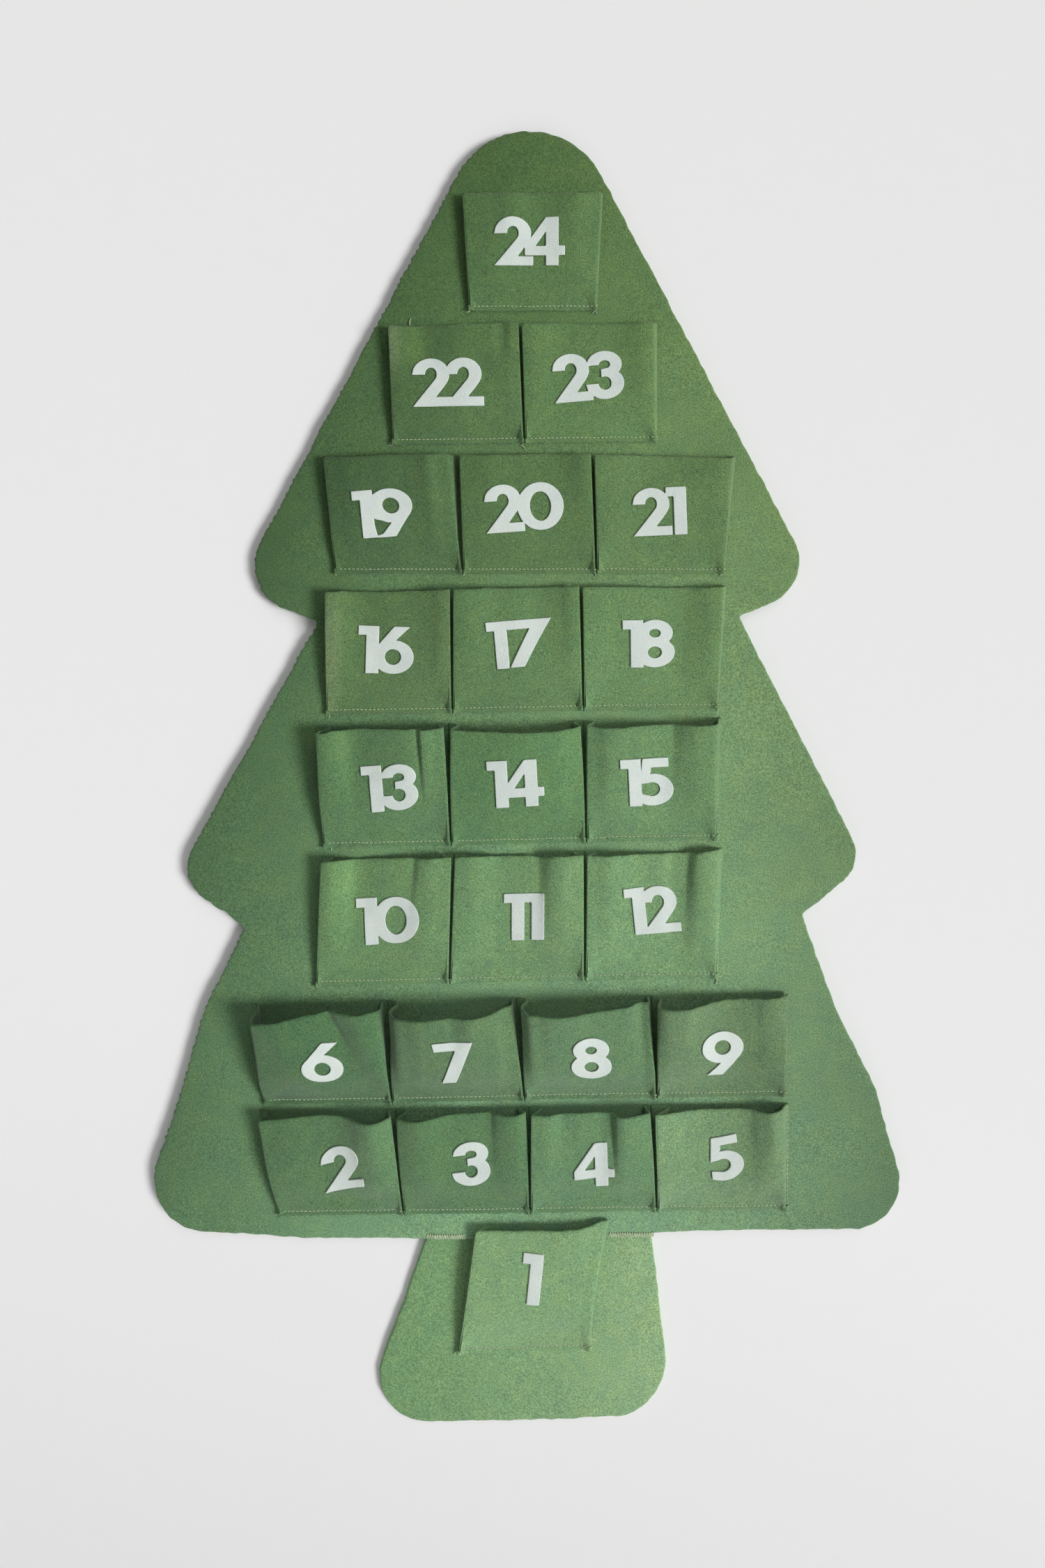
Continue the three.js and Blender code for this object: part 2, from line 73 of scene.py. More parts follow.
# The point that the hanging is seen from straight ahead, as x and height, and how far off it is
EYE = (-3.2, 620.9)
EYE_DISTANCE = 635.0

# Outlines as (x, height, corner radius), clockwise from the tip as the viewer sees them
TREE_CORNERS = (
    (2, 966, 57), (202, 586, 30), (148, 563, 2), (236, 390, 24), (192, 355, 2),
    (216, 288, 120), (243, 234, 90), (271, 135.5, 33), (120, 134, 60),
    (0, 129, 60), (-150, 128.5, 60), (-275, 137, 37), (-245, 220, 90),
    (-226, 287, 90), (-197, 346, 2), (-245, 380.5, 26), (-146, 559, 2), (-204, 582, 33),
)
TRUNK_CORNERS = (
    (86, 141, 8), (102, 1.8, 40), (0, -1.2, 60), (-119, -3.2, 33), (-85, 85.5, 80), (-66, 141, 6),
)
TREE_HEM = 129.0
TRUNK_TAB = (-66.0, 86.0, 12.0)

# The nine strips: days, height of the raw edge, height of the strip, how much higher its
# right end sits, x of each post at the seam and at the mouth, and how far the front stands
# off the felt at each post
STRIPS = (
    ((24,), 776, 79, 0, (-41, 49), (-46, 53), (7, 8)),
    ((22, 23), 684, 81, 2, (-94, -2, 90), (-97, -5, 89), (8.5, 9, 9)),
    ((19, 20, 21), 593, 81, 0, (-134, -45, 48, 138), (-142, -48, 45, 142), (8, 9, 9, 9)),
    ((16, 17, 18), 497, 85, 4.5, (-140, -52, 39, 134), (-140, -52, 37, 137), (12, 11, 9, 9)),
    ((13, 14, 15), 405, 84, 6, (-142, -53, 41, 131), (-147, -55, 39, 131), (17, 12, 9, 9)),
    ((10, 11, 12), 309, 89, 6, (-147, -54, 40, 131), (-143, -51, 40, 133), (12, 10, 9, 9)),
    ((6, 7, 8, 9), 226.5, 70.5, 6.5, (-183, -94, -2, 90, 178), (-190, -98, -8, 86, 177),
     (24, 23, 22, 20, 14)),
    ((2, 3, 4, 5), 148, 73, 4.5, (-173, -86, 2, 90, 179), (-187, -92, 1, 86, 179),
     (14, 14, 14, 13, 11)),
    ((1,), 48.5, 90.5, 2.5, (-48.5, 44.5), (-37, 54), (13, 11)),
)
SEAM_RISE = 3.0
FOLD_GAP = 0.2
# Felt of the strips as the folds are laid out with it
POCKET_FELT = 1.5
# Depth of the outer felt where a fold's three layers are sewn down, and how the belly of a
# front runs from the seam to the mouth
FOOT_STACK = 5.3
BELLY = 0.35
STACK_SHARE = 0.55
STACK_SPREAD = 3.2
SAG_SPREAD = 9.0
TUCK_FOOT = 3.0
TUCK_MOUTH = 8.0
# How far the seam pulls the felt in, and how far from it, in mm
SEAM_PULL = 0.25
SEAM_PULL_SPREAD = 1.0
# Shares of a front's height, from the seam: where the dish has its full depth, where it starts
# to fade and how far that takes, where the sewn-down felt has let go, and where the felt is
# loose enough to ripple
DISH_FULL = 0.15
DISH_FADE = 0.3
DISH_FADE_LONG = 0.5
SEWN_END = 0.38
LOOSE = 0.3
# How far a gusset runs in behind its fold at the mouth, where it differs. A gusset of less
# than nothing runs out past its fold, which then stands that much further in.
LEFT_TUCKS = {1: 11.7, 2: 7.6, 3: 9.6, 4: 9.0, 5: 13.7, 6: 5.0, 7: 12.0, 8: 11.0, 9: 8.6, 13: 14.0}
RIGHT_TUCKS = {2: 5.0, 4: 4.0, 6: 3.0, 7: 2.5, 8: 2.5, 19: -6.5}
# The right side of each strip's last pocket: x of its fold at the seam and at the mouth, x of
# its sewn edge at both, and how far its allowance is turned out, or in, from the wall's foot
EDGES = {
    24: (47.8, 51.3, 48.9, 53.0, -3.0), 23: (88.7, 87.5, 90.9, 90.8, -3.0),
    21: (136.4, 141.6, 137.7, 145.6, -3.0), 18: (131.9, 135.4, 133.2, 139.2, -3.0),
    15: (131.0, 132.0, 133.2, 135.5, 2.0), 12: (131.0, 133.3, 132.9, 136.2, 2.0),
    9: (178.6, 179.4, 180.2, 183.5, -3.0), 5: (179.3, 175.7, 182.0, 182.3, 2.0),
    1: (43.6, 56.2, 44.8, 57.8, -3.0),
}
# How far the right side runs in of a straight line at mid height, and how round its fold is
BOWS = {1: 2.2}
ROUNDS = {15: 0.8, 12: 0.9, 5: 0.5}

# How far each front's mouth stands out or in of the straight line between its folds, at even
# places across, and how far its cut edge is above or below the strip's line there, which is
# EVEN where none is given
STANDS = {
    1: (-2.1, -2, -1.9, -1.4, -1.1, -0.9, -0.6, -0.4, -0.1, -0.4, -1.1, -2.2, -2.9),
    2: (-0.8, -1.8, -2.7, -3.7, -5.2, -6.1, -6.4, -5.4, -3, 1.2, 3.3, 1.1, -3.6),
    3: (-2.1, -0.3, 0.3, -1, -3.3, -5.1, -6, -6.6, -6.8, -5.1, -3.2, -3, -6.3),
    4: (-2.9, -3, -3.4, -4.7, -4.9, -4.5, -4.9, -4.6, -1.6, 1.3, 0.6, -0.9, -2.8),
    5: (-1.1, -1.6, -2.4, -4, -5.2, -6.2, -6, -5.8, -5.7, -4.5, -1, 0.5, -0.7),
    6: (0.6, 1.4, 1.4, 0, -2.7, -5.4, -7.2, -8.5, -7, -4.4, -4.8, -6.7, -9.3),
    7: (-9.6, -1.1, 0.8, 2.5, 2.3, 1.4, 1, 2.2, 2.1, 0.2, -2.8, -8.1, -10.1),
    8: (-9.7, -0.7, 1.1, 2.9, 3.1, 2.2, 0.4, -1.2, -2.5, -3.9, -5.9, -10.1, -7.7),
    9: (-4.2, -0.7, -0.5, -0.5, -1.8, -4.8, -7, -8, -8.7, -7.9, -5.7, -5.5, -7.4),
    10: (-0.3, -0.2, -3.6, -8.2, -8.3, -7.1, -6, -5.3, -4.2, -1.8, -0.1, -0.3, -0.7),
    11: (-1, -0.5, -0.7, -3.2, -5.5, -6, -5.4, -4.6, -2.8, 0.8, 2.3, 1.6, 0.6),
    12: (0.4, 1, 2, 0.8, -1.2, -2.9, -3.5, -4.1, -5.9, -4.5, -0.5, 0.6, -0.5),
    13: (0.2, 0.3, -1.5, -6, -6.1, -5, -3.4, -1.9, -0.5, 1, 2, 0.5, 0.5),
    14: (1.4, 1.8, 2.8, 3.7, 4.6, 5.4, 6.1, 6.5, 6.8, 6.5, 5.9, 3.9, 2.8),
    15: (1.9, 3.3, 5.9, 6.1, 5.1, 3.6, 1.7, -0.1, -0.1, 2.2, 4.3, 4.7, 4.5),
    16: (0, -1, -5.5, -7.8, -8, -7.4, -6.5, -6.1, -5.7, -4.9, -3.1, -0.6, 0),
    17: (0, 0.3, -0.2, -2, -2.9, -3, -3, -3.5, -3.9, -3.5, -2.3, -0.4, 0),
    18: (0, 0.2, -0.3, -1.2, -1.7, -2.2, -3, -4.1, -5.1, -4.7, -2.7, -0.4, 0),
    19: (0, 0.4, 1.4, 1.7, 1.7, 1.8, 1.7, 1.6, 1.8, 2.9, 4.2, 1.6, 0),
    20: (0, 0.5, 1.1, 0.7, -0.3, -1.1, -1.9, -2.6, -2.7, -2.4, -1.3, 0, 0),
    21: (0, 0.2, 0.1, -1.1, -2.2, -2.7, -3.1, -2.8, -2.4, -1.6, -0.6, 0.2, 0),
    22: (0, -0.1, -2, -2.9, -2.9, -2.7, -2.4, -2.1, -1.9, -1.6, -0.9, 0, 0),
    23: (0, 0.3, -1, -3.1, -4, -4.1, -4, -3.8, -3.8, -3.3, -1.9, -0.3, 0),
    24: (0, 0.2, 0.9, 1, 0.9, 0.4, -0.3, -0.7, 0.1, 1.2, 1.9, 1, 0),
}
CUTS = {
    1: (1.2, 1.1, 1.1, 0.8, 0.6, 0.5, 0.4, 0.2, 0.1, 0.2, 0.6, 1.2, 1.6),
    10: (0.1, 0.4, -0.5, -1.3, -1.3, -0.9, -0.8, -0.5, -0.2, -0.4, 0.2, 0.1, 0.2),
    11: (0.3, 0.8, 0.6, -0.4, -1, -1.1, -1.2, -1.2, -2.1, -0.2, 0.2, -0.1, -0.2),
    12: (-0.1, -0.6, -0.4, -0.7, -1.1, -1.3, -1.5, -1.5, -1.6, -1.5, -0.6, 0, 0.1),
    13: (-0.1, -0.8, -0.1, -0.7, -0.5, -0.4, -0.6, -0.5, -0.6, -0.4, -1.1, -0.9, -0.3),
    14: (-1, -1.9, -2.4, -2.7, -2.8, -3.2, -3.4, -3.4, -3.3, -3.3, -3, -2.5, -1.8),
    15: (-1.2, -2.1, -2.3, -2.4, -2.2, -2, -2.1, -2.2, -2.4, -2.6, -2.7, -2.9, -2.9),
    16: (0.6, 0.8, 0.5, 0, -0.1, -0.4, -0.3, -0.4, 0, 0, 0.3, 0.5, 0.8),
    17: (0.9, 1.1, 0.9, 1.2, 0.9, 0.8, 0.8, 1, 0.8, 0.9, 1.1, 1.3, 1.5),
    18: (0.8, 0.9, 0.7, 0.4, 0.3, 0.1, -0.4, -0.7, -0.9, -0.7, -1, -1, -0.9),
    19: (-1.3, -1.3, -1, -0.8, -0.4, 0, 0.4, 0.6, 0.9, 1, 0.8, 1, 1),
    20: (0.4, 0.6, 0.2, 0.6, 0.7, 0.8, 1.3, 1.4, 1.4, 1.4, 1.3, 1.1, 1.1),
    21: (0.7, 0.7, 0.4, 0.3, 0.4, 0.3, 0, -0.1, -0.4, -0.7, -1.3, -1.7, -1.7),
    22: (-0.3, -0.6, -0.3, 0.2, 0.1, 0.3, 0.4, 0.7, 0.6, 0.9, 1.1, 1.3, 1.3),
    23: (0.6, 0, 0.3, 0.7, 0.5, 0.3, 0.3, 0.1, 0, -0.3, -0.4, -0.5, -0.2),
    24: (0.4, 0.3, 0.4, 0.4, 0.2, 0.3, 0.5, 0.7, 0.4, 0.4, -0.3, 0, 0.4),
}
EVEN = (0.0,) * 13

# Folds set in a front. A swell: place across from -1 to 1, half width, depth in mm and length
# down from the mouth. A crease: place, width of its near side, depth, length, how far it
# leans across towards the foot, and width of its steep side.
SWELLS = {
    3: ((-0.6, 0.3, 1.0, 0.7),), 4: ((-0.7, 0.25, 1.4, 0.7),), 5: ((0.85, 0.2, 1.2, 0.8),),
    7: ((0.1, 0.2, -1.4, 0.5),), 9: ((0.4, 0.3, 1.0, 0.8), (-0.6, 0.3, 1.6, 0.8)),
    22: ((-0.45, 0.5, -2.6, 0.5), (0.72, 0.16, -1.8, 0.4)),
    24: ((-0.3, 0.3, 1.2, 0.5),),
}
CREASES = {
    3: ((0.44, 0.3, 1.6, 0.8, 0.02, 0.1),),
    4: ((0.35, 0.35, 3.0, 0.75, 0.0, 0.07),),
    6: ((0.17, 0.35, 2.6, 0.62, 0.67, 0.12),),
    10: ((0.42, 0.2, 1.4, 0.6, -0.1, 0.09),),
    11: ((0.3, 0.25, 1.3, 0.7, 0.05, 0.17),),
    12: ((0.55, 0.2, 1.4, 0.7, -0.1, 0.1),),
    13: ((0.567, 0.3, 3.0, 0.8, 0.05, 0.04),),
    15: ((0.33, 0.2, 0.9, 0.7, -0.05, 0.17),),
}
# How much of a front's depth leans across with its crease
LEANS = {6: 0.5}
# How a front sags or swells low down: depth in mm, and the place across, from 0 to 1, where most
DISHES = {
    1: (0.2, 0.3), 2: (-1.8, 0.66), 3: (-0.4, 0.56), 4: (-1.2, 0.66), 5: (0.6, 0.3), 6: (0.7, 0.3),
    7: (-0.7, 0.3), 8: (0.3, 0.74), 9: (-1, 0.74), 10: (-0.6, 0.6), 11: (-0.6, 0.74),
    12: (-0.6, 0.74), 13: (-1.9, 0.6), 14: (0.2, 0.3), 15: (-0.7, 0.74), 16: (-1, 0.56),
    17: (1.4, 0.48), 18: (0.4, 0.3), 19: (-1.1, 0.66), 20: (0.6, 0.3), 21: (-0.4, 0.7),
    22: (1.6, 0.42), 23: (0.9, 0.44), 24: (0.6, 0.34),
}
# How far the top right corner of a front curls up and back, and how far where none is given
CURLS = {24: 2.5, 12: 2.5, 1: 3.0, 15: 2.0, 7: 1.0, 8: 1.0, 5: 1.5}
CURL = 0.8

# How far a number lies off its front
NUMBER_GAP = 0.05
# Digits that are taller than the frame has them: day and how many times, from the top down
TALLER = {1: 1.14}
# Numbers whose second digit leans otherwise: places across the number, from 0 to 1, where the
# top starts to widen, where the foot starts to move and how wide that start is, then how far the
# top's right end, the foot and the whole number go to the right, in mm
LEANING = {17: (0.36, 0.41, 0.12, 4.4, -4.2, 0.0), 19: (0.45, 0.41, 0.05, 1.4, 4.4, 1.1)}

# Places where the felt of a front is pale, partly worn and partly painted sheen on its left part:
# across, half width, up, half height, and how much of red, green and blue is added
WORN_AND_SHEEN = {
    22: ((-0.95, 0.22, 0.9, 0.5, (0.95, 0.5, 0.9)), (-0.62, 0.25, 0.85, 0.35, (0.3, 0.26, 0.12))),
    16: ((-0.97, 0.3, 0.55, 0.8, (0.85, 0.45, 0.75)), (-0.6, 0.35, 0.6, 0.7, (0.24, 0.2, 0.16))),
    13: ((-0.6, 0.35, 0.8, 0.5, (0.2, 0.16, 0.14)),),
    10: ((-0.6, 0.35, 0.8, 0.6, (0.2, 0.2, 0.16)),),
}

# Colour of the felt over the whole hanging, as the log of linear red, green and blue: the
# part that is the same everywhere is in the colour settings, and these are its slopes with x
# and height from a middle, per 100 mm. The slopes are painted light, brighter to the right
# and lower down and darker to the upper left, and each pocket has its own painted shade
PAINTED_LIGHT_MIDDLE = 450.0
PAINTED_LIGHT_SLOPES = {
    "x": (0.190, 0.147, 0.167), "z": (-0.106, -0.104, -0.162), "xz": (0.046, 0.038, 0.036),
    "zz": (-0.020, -0.017, -0.024), "xx": (-0.116, -0.107, -0.131),
}
TRUNK_PAINTED_LIGHT_SLOPE = (0.269, 0.177, 0.255)
# Painted shade of each pocket, as factors on red, green and blue: the light and shade that each pocket
# gets, painted into its felt's colour
POCKET_PAINTED_SHADES = {
    1: (1.01, 0.965, 0.837), 2: (0.627, 0.665, 0.593), 3: (0.477, 0.533, 0.441),
    4: (0.61, 0.661, 0.583), 5: (0.909, 0.872, 0.813), 6: (0.526, 0.605, 0.539),
    7: (0.541, 0.555, 0.494), 8: (0.567, 0.609, 0.555), 9: (0.698, 0.681, 0.641),
    10: (0.901, 0.902, 0.811), 11: (0.841, 0.852, 0.776), 12: (0.884, 0.907, 0.849),
    13: (0.76, 0.806, 0.763), 14: (0.636, 0.722, 0.627), 15: (0.733, 0.789, 0.746),
    16: (0.867, 0.83, 0.765), 17: (0.76, 0.782, 0.714), 18: (0.808, 0.845, 0.779),
    19: (0.739, 0.754, 0.741), 20: (0.725, 0.733, 0.677), 21: (0.771, 0.796, 0.76),
    22: (0.931, 0.921, 0.903), 23: (0.937, 0.96, 0.931), 24: (1.037, 1.053, 1.114),
}

TREE_DYE = (0.1778, 0.3125, 0.1500)
TRUNK_DYE = (0.2061, 0.3566, 0.1675)
NUMBER_DYE = (0.610, 0.672, 0.631)
THREAD_DYE = (0.44, 0.52, 0.34)


def length_setting(name, description, default, least):
    return FloatProperty(
        name=name, description=description, default=default, min=least, unit="LENGTH")


def colour_setting(name, description, default):
    return FloatVectorProperty(
        name=name, description=description, default=default, subtype="COLOR", min=0.0, max=1.0)


class CALENDAR_PG_sizes(bpy.types.PropertyGroup):
    """Sizes of the felt and of the sewing"""

    tree_felt: length_setting(
        "Tree felt", "Thickness of the tree's and the trunk's felt", 0.003, 0.0005)
    pocket_felt: length_setting("Pocket felt", "Thickness of the strips' felt", 0.0015, 0.0003)
    number_felt: length_setting("Number felt", "Thickness of the die-cut numbers", 0.001, 0.0003)
    loop_felt: length_setting("Loop felt", "Thickness of the hanging loop", 0.0015, 0.0003)
    edge_wave: length_setting(
        "Cut edge", "How far a hand-cut edge strays from its line", 0.0004, 0.0)
    stitch_pitch: length_setting(
        "Stitch pitch", "Distance from one running stitch to the next", 0.0029, 0.0015)
    stitch_length: length_setting(
        "Stitch length", "Length of thread that shows of one stitch", 0.0020, 0.0005)
    thread: length_setting("Thread", "Thickness of the sewing thread", 0.00062, 0.0001)


class CALENDAR_PG_colours(bpy.types.PropertyGroup):
    """Colours of the felts and the thread"""

    tree: colour_setting("Tree", "Colour of the tree's felt at mid height", TREE_DYE)
    trunk: colour_setting("Trunk", "Colour of the trunk's felt", TRUNK_DYE)
    pocket: colour_setting("Pockets", "Colour of the strips' felt at mid height", TREE_DYE)
    number: colour_setting("Numbers", "Colour of the numbers' felt", NUMBER_DYE)
    thread: colour_setting("Thread", "Colour of the sewing thread", THREAD_DYE)


def mm(length):
    """A length setting in millimetres."""
    return length * 1000.0


def to_frame(points):
    """Millimetres with heights above the trunk's bottom edge, as metres in the row frame."""
    return (points - np.array([0.0, 0.0, HANG_HEIGHT])) / 1000.0


def mix(a, b, share):
    return a + (b - a) * share


def smooth(share):
    """Three times the share's square less twice its cube, with the share held to 0 and 1."""
    held = np.clip(share, 0.0, 1.0)
    return held * held * (3.0 - 2.0 * held)


def bell(distance):
    """A hump that is 1 in the middle and 0 past a distance of 1: (1 - distance squared) squared."""
    return np.clip(1.0 - distance * distance, 0.0, None) ** 2


def ripple(x, z, length, seed):
    """Aimless waves between about -1 and 1: the mean of seven plane waves of nearly one length,
    whose directions and phases come from a fixed seed."""
    draw = np.random.default_rng(seed)
    angle = draw.uniform(0.0, 2.0 * np.pi, 7)
    phase = draw.uniform(0.0, 2.0 * np.pi, 7)
    turns = 2.0 * np.pi / (length * draw.uniform(0.75, 1.35, 7))
    x, z = np.broadcast_arrays(x, z)
    run = np.multiply.outer(x, turns * np.cos(angle)) + np.multiply.outer(z, turns * np.sin(angle))
    return np.sin(run + phase).mean(axis=-1) * 1.6


def sway(x, z):
    """How far the whole hanging stands forward of its plane: slow waves about 150 and 60 mm long."""
    return 0.35 * ripple(x, z, 150.0, 11) + 0.15 * ripple(x, z, 60.0, 12)


def dye_with_painted_light(x, z, base, shade=1.0):
    """Linear colour of the felt: the base dye times painted light, the exponential of a quadratic
    in x and height, times a factor such as a pocket's painted shade.
    """
    x = np.asarray(x)[..., None] / 100.0
    z = (np.asarray(z)[..., None] - PAINTED_LIGHT_MIDDLE) / 100.0
    k = {name: np.array(slope) for name, slope in PAINTED_LIGHT_SLOPES.items()}
    log = k["x"] * x + k["z"] * z + k["xz"] * x * z + k["zz"] * z * z + k["xx"] * x * x
    return np.array(base) * np.exp(log) * shade


def worn_and_sheen(pocket, x, z):
    """How pale a front is at x and height, partly worn and partly painted sheen: one, and a bell
    both ways for each pale place.
    """
    up = (z - pocket.seam) / pocket.height
    left = mix(pocket.foot[0], pocket.mouth[0], up)
    right = mix(pocket.foot[1], pocket.mouth[1], up)
    across = 2.0 * (x - left) / (right - left) - 1.0
    pale = np.ones(x.shape + (3,))
    for place, wide, high, tall, more in WORN_AND_SHEEN.get(pocket.day, ()):
        share = bell((across - place) / wide) * bell((up - high) / tall)
        pale = pale + share[:, None] * np.array(more)
    return pale


def new_mesh(name, points, blocks, material, dye_and_painted_light=None, place=None):
    """An object from points in millimetres and blocks of faces, each an array of corners.
    dye_and_painted_light gives each point's colour, the dye with any painted light and shade,
    and place the point that its pattern is read at."""
    mesh = bpy.data.meshes.new(name)
    mesh.vertices.add(len(points))
    mesh.vertices.foreach_set("co", to_frame(points).astype(np.float32).ravel())
    corners = np.concatenate([block.ravel() for block in blocks])
    sizes = np.concatenate([np.full(len(block), block.shape[1]) for block in blocks])
    mesh.loops.add(len(corners))
    mesh.loops.foreach_set("vertex_index", corners.astype(np.int32))
    mesh.polygons.add(len(sizes))
    mesh.polygons.foreach_set("loop_start", (np.cumsum(sizes) - sizes).astype(np.int32))
    mesh.polygons.foreach_set("use_smooth", np.ones(len(sizes), dtype=bool))
    mesh.update(calc_edges=True)
    if dye_and_painted_light is not None:
        layer = mesh.attributes.new("dye_and_painted_light", "FLOAT_COLOR", "POINT")
        colour = np.concatenate([dye_and_painted_light, np.ones((len(dye_and_painted_light), 1))], axis=1)
        layer.data.foreach_set("color", colour.astype(np.float32).ravel())
    if place is not None:
        layer = mesh.attributes.new("felt_place", "FLOAT_VECTOR", "POINT")
        layer.data.foreach_set("vector", to_frame(place).astype(np.float32).ravel())
    mesh.materials.append(material)
    piece = bpy.data.objects.new(name, mesh)
    bpy.context.scene.collection.objects.link(piece)
    return piece


def spread(line, pitch):
    """Points laid evenly along a closed line about pitch apart, by its length."""
    line = np.concatenate([line, line[:1]])
    run = np.concatenate([[0.0], np.cumsum(np.linalg.norm(np.diff(line, axis=0), axis=1))])
    count = max(3, int(round(run[-1] / pitch)))
    at = np.arange(count) * run[-1] / count
    return np.stack([np.interp(at, run, line[:, k]) for k in range(line.shape[1])], axis=1)


def rounded_path(corners, pitch):
    """The closed line through corners, anticlockwise. Each corner gives way to the arc of its
    radius that touches both its edges, and points are laid evenly along the whole."""
    corners = np.array(corners, dtype=float)[::-1]
    at, radius = corners[:, :2], corners[:, 2:]
    back = np.roll(at, 1, axis=0) - at
    ahead = np.roll(at, -1, axis=0) - at
    back /= np.linalg.norm(back, axis=1, keepdims=True)
    ahead /= np.linalg.norm(ahead, axis=1, keepdims=True)
    half = np.arccos(np.clip((back * ahead).sum(axis=1, keepdims=True), -1.0, 1.0)) / 2.0
    middle = back + ahead
    middle /= np.linalg.norm(middle, axis=1, keepdims=True)
    centre = at + middle * radius / np.sin(half)
    first = at + back * radius / np.tan(half) - centre
    last = at + ahead * radius / np.tan(half) - centre
    start = np.arctan2(first[:, 1], first[:, 0])
    turn = np.arctan2(last[:, 1], last[:, 0]) - start
    turn -= 2.0 * np.pi * np.round(turn / (2.0 * np.pi))
    angle = start[:, None] + turn[:, None] * np.linspace(0.0, 1.0, 24)
    arcs = np.stack([np.cos(angle), np.sin(angle)], axis=-1) * radius[:, :, None]
    return spread((centre[:, None, :] + arcs).reshape(-1, 2), pitch)


def leftward(line):
    """Unit vectors to the left of a closed line at its points."""
    along = np.roll(line, -1, axis=0) - np.roll(line, 1, axis=0)
    along /= np.linalg.norm(along, axis=1, keepdims=True)
    return np.stack([-along[:, 1], along[:, 0]], axis=1)


def hand_cut(line, stray):
    """A cut line that strays off its course in slow and quick waves, by up to about stray. The
    quick ones are the stronger up the left side, where the cut is rougher."""
    x, z = line[:, 0], line[:, 1]
    rough = 0.4 + 1.3 * smooth(-x / 60.0) * smooth((z - 140.0) / 60.0)
    wave = ripple(x, z, 45.0, 21) + 0.9 * ripple(x, z, 12.0, 22) + rough * ripple(x, z, 5.0, 23)
    return line + leftward(line) * (stray * wave)[:, None]


def in_blocks(test, points, edges):
    """Runs an array test on as many points at a time as keep its arrays small."""
    parts = 1 + len(points) * edges // 3_000_000
    return np.concatenate([test(block) for block in np.array_split(points, parts)])


def inside(points, loops):
    """Whether points lie inside closed loops: a ray to the right crosses them an odd number of
    times."""
    a = np.concatenate(loops)
    b = np.concatenate([np.roll(loop, -1, axis=0) for loop in loops])
    slope = (b[:, 0] - a[:, 0]) / np.where(b[:, 1] == a[:, 1], 1e-9, b[:, 1] - a[:, 1])

    def test(block):
        x, z = block[:, :1], block[:, 1:]
        crossed = (a[:, 1] > z) != (b[:, 1] > z)
        return (crossed & (x < a[:, 0] + (z - a[:, 1]) * slope)).sum(axis=1) % 2 == 1

    return in_blocks(test, points, len(a))


def clear_of(points, loops, distance):
    """Whether points are further than a distance from every point of the loops."""
    a = np.concatenate(loops)

    def test(block):
        apart = ((block[:, None, :] - a) ** 2).sum(axis=-1).min(axis=1)
        return apart > distance * distance

    return in_blocks(test, points, len(a) * 2)


def room(loop, left, loops):
    """Radius of the largest circle that touches a loop at each of its points from the left and
    holds no point of the loops: the least of distance squared over twice the distance to the
    left."""
    a = np.concatenate(loops)

    def radius(block):
        apart = a - block[:, None, :2]
        ahead = (apart * block[:, None, 2:]).sum(axis=-1)
        size = (apart ** 2).sum(axis=-1) / (2.0 * np.where(ahead > 1e-6, ahead, 1e-9))
        return size.min(axis=1, where=ahead > 1e-6, initial=1e3)

    return in_blocks(radius, np.concatenate([loop, left], axis=1), len(a) * 2)


# Section of a cut edge: how far in from the edge, and how far back, as shares of thickness
CUT_EDGE = np.array([
    (0.6, 0.0), (0.33, 0.015), (0.13, 0.09), (0.035, 0.23), (0.0, 0.4),
    (0.0, 0.6), (0.035, 0.77), (0.13, 0.91), (0.33, 0.985), (0.6, 1.0),
])


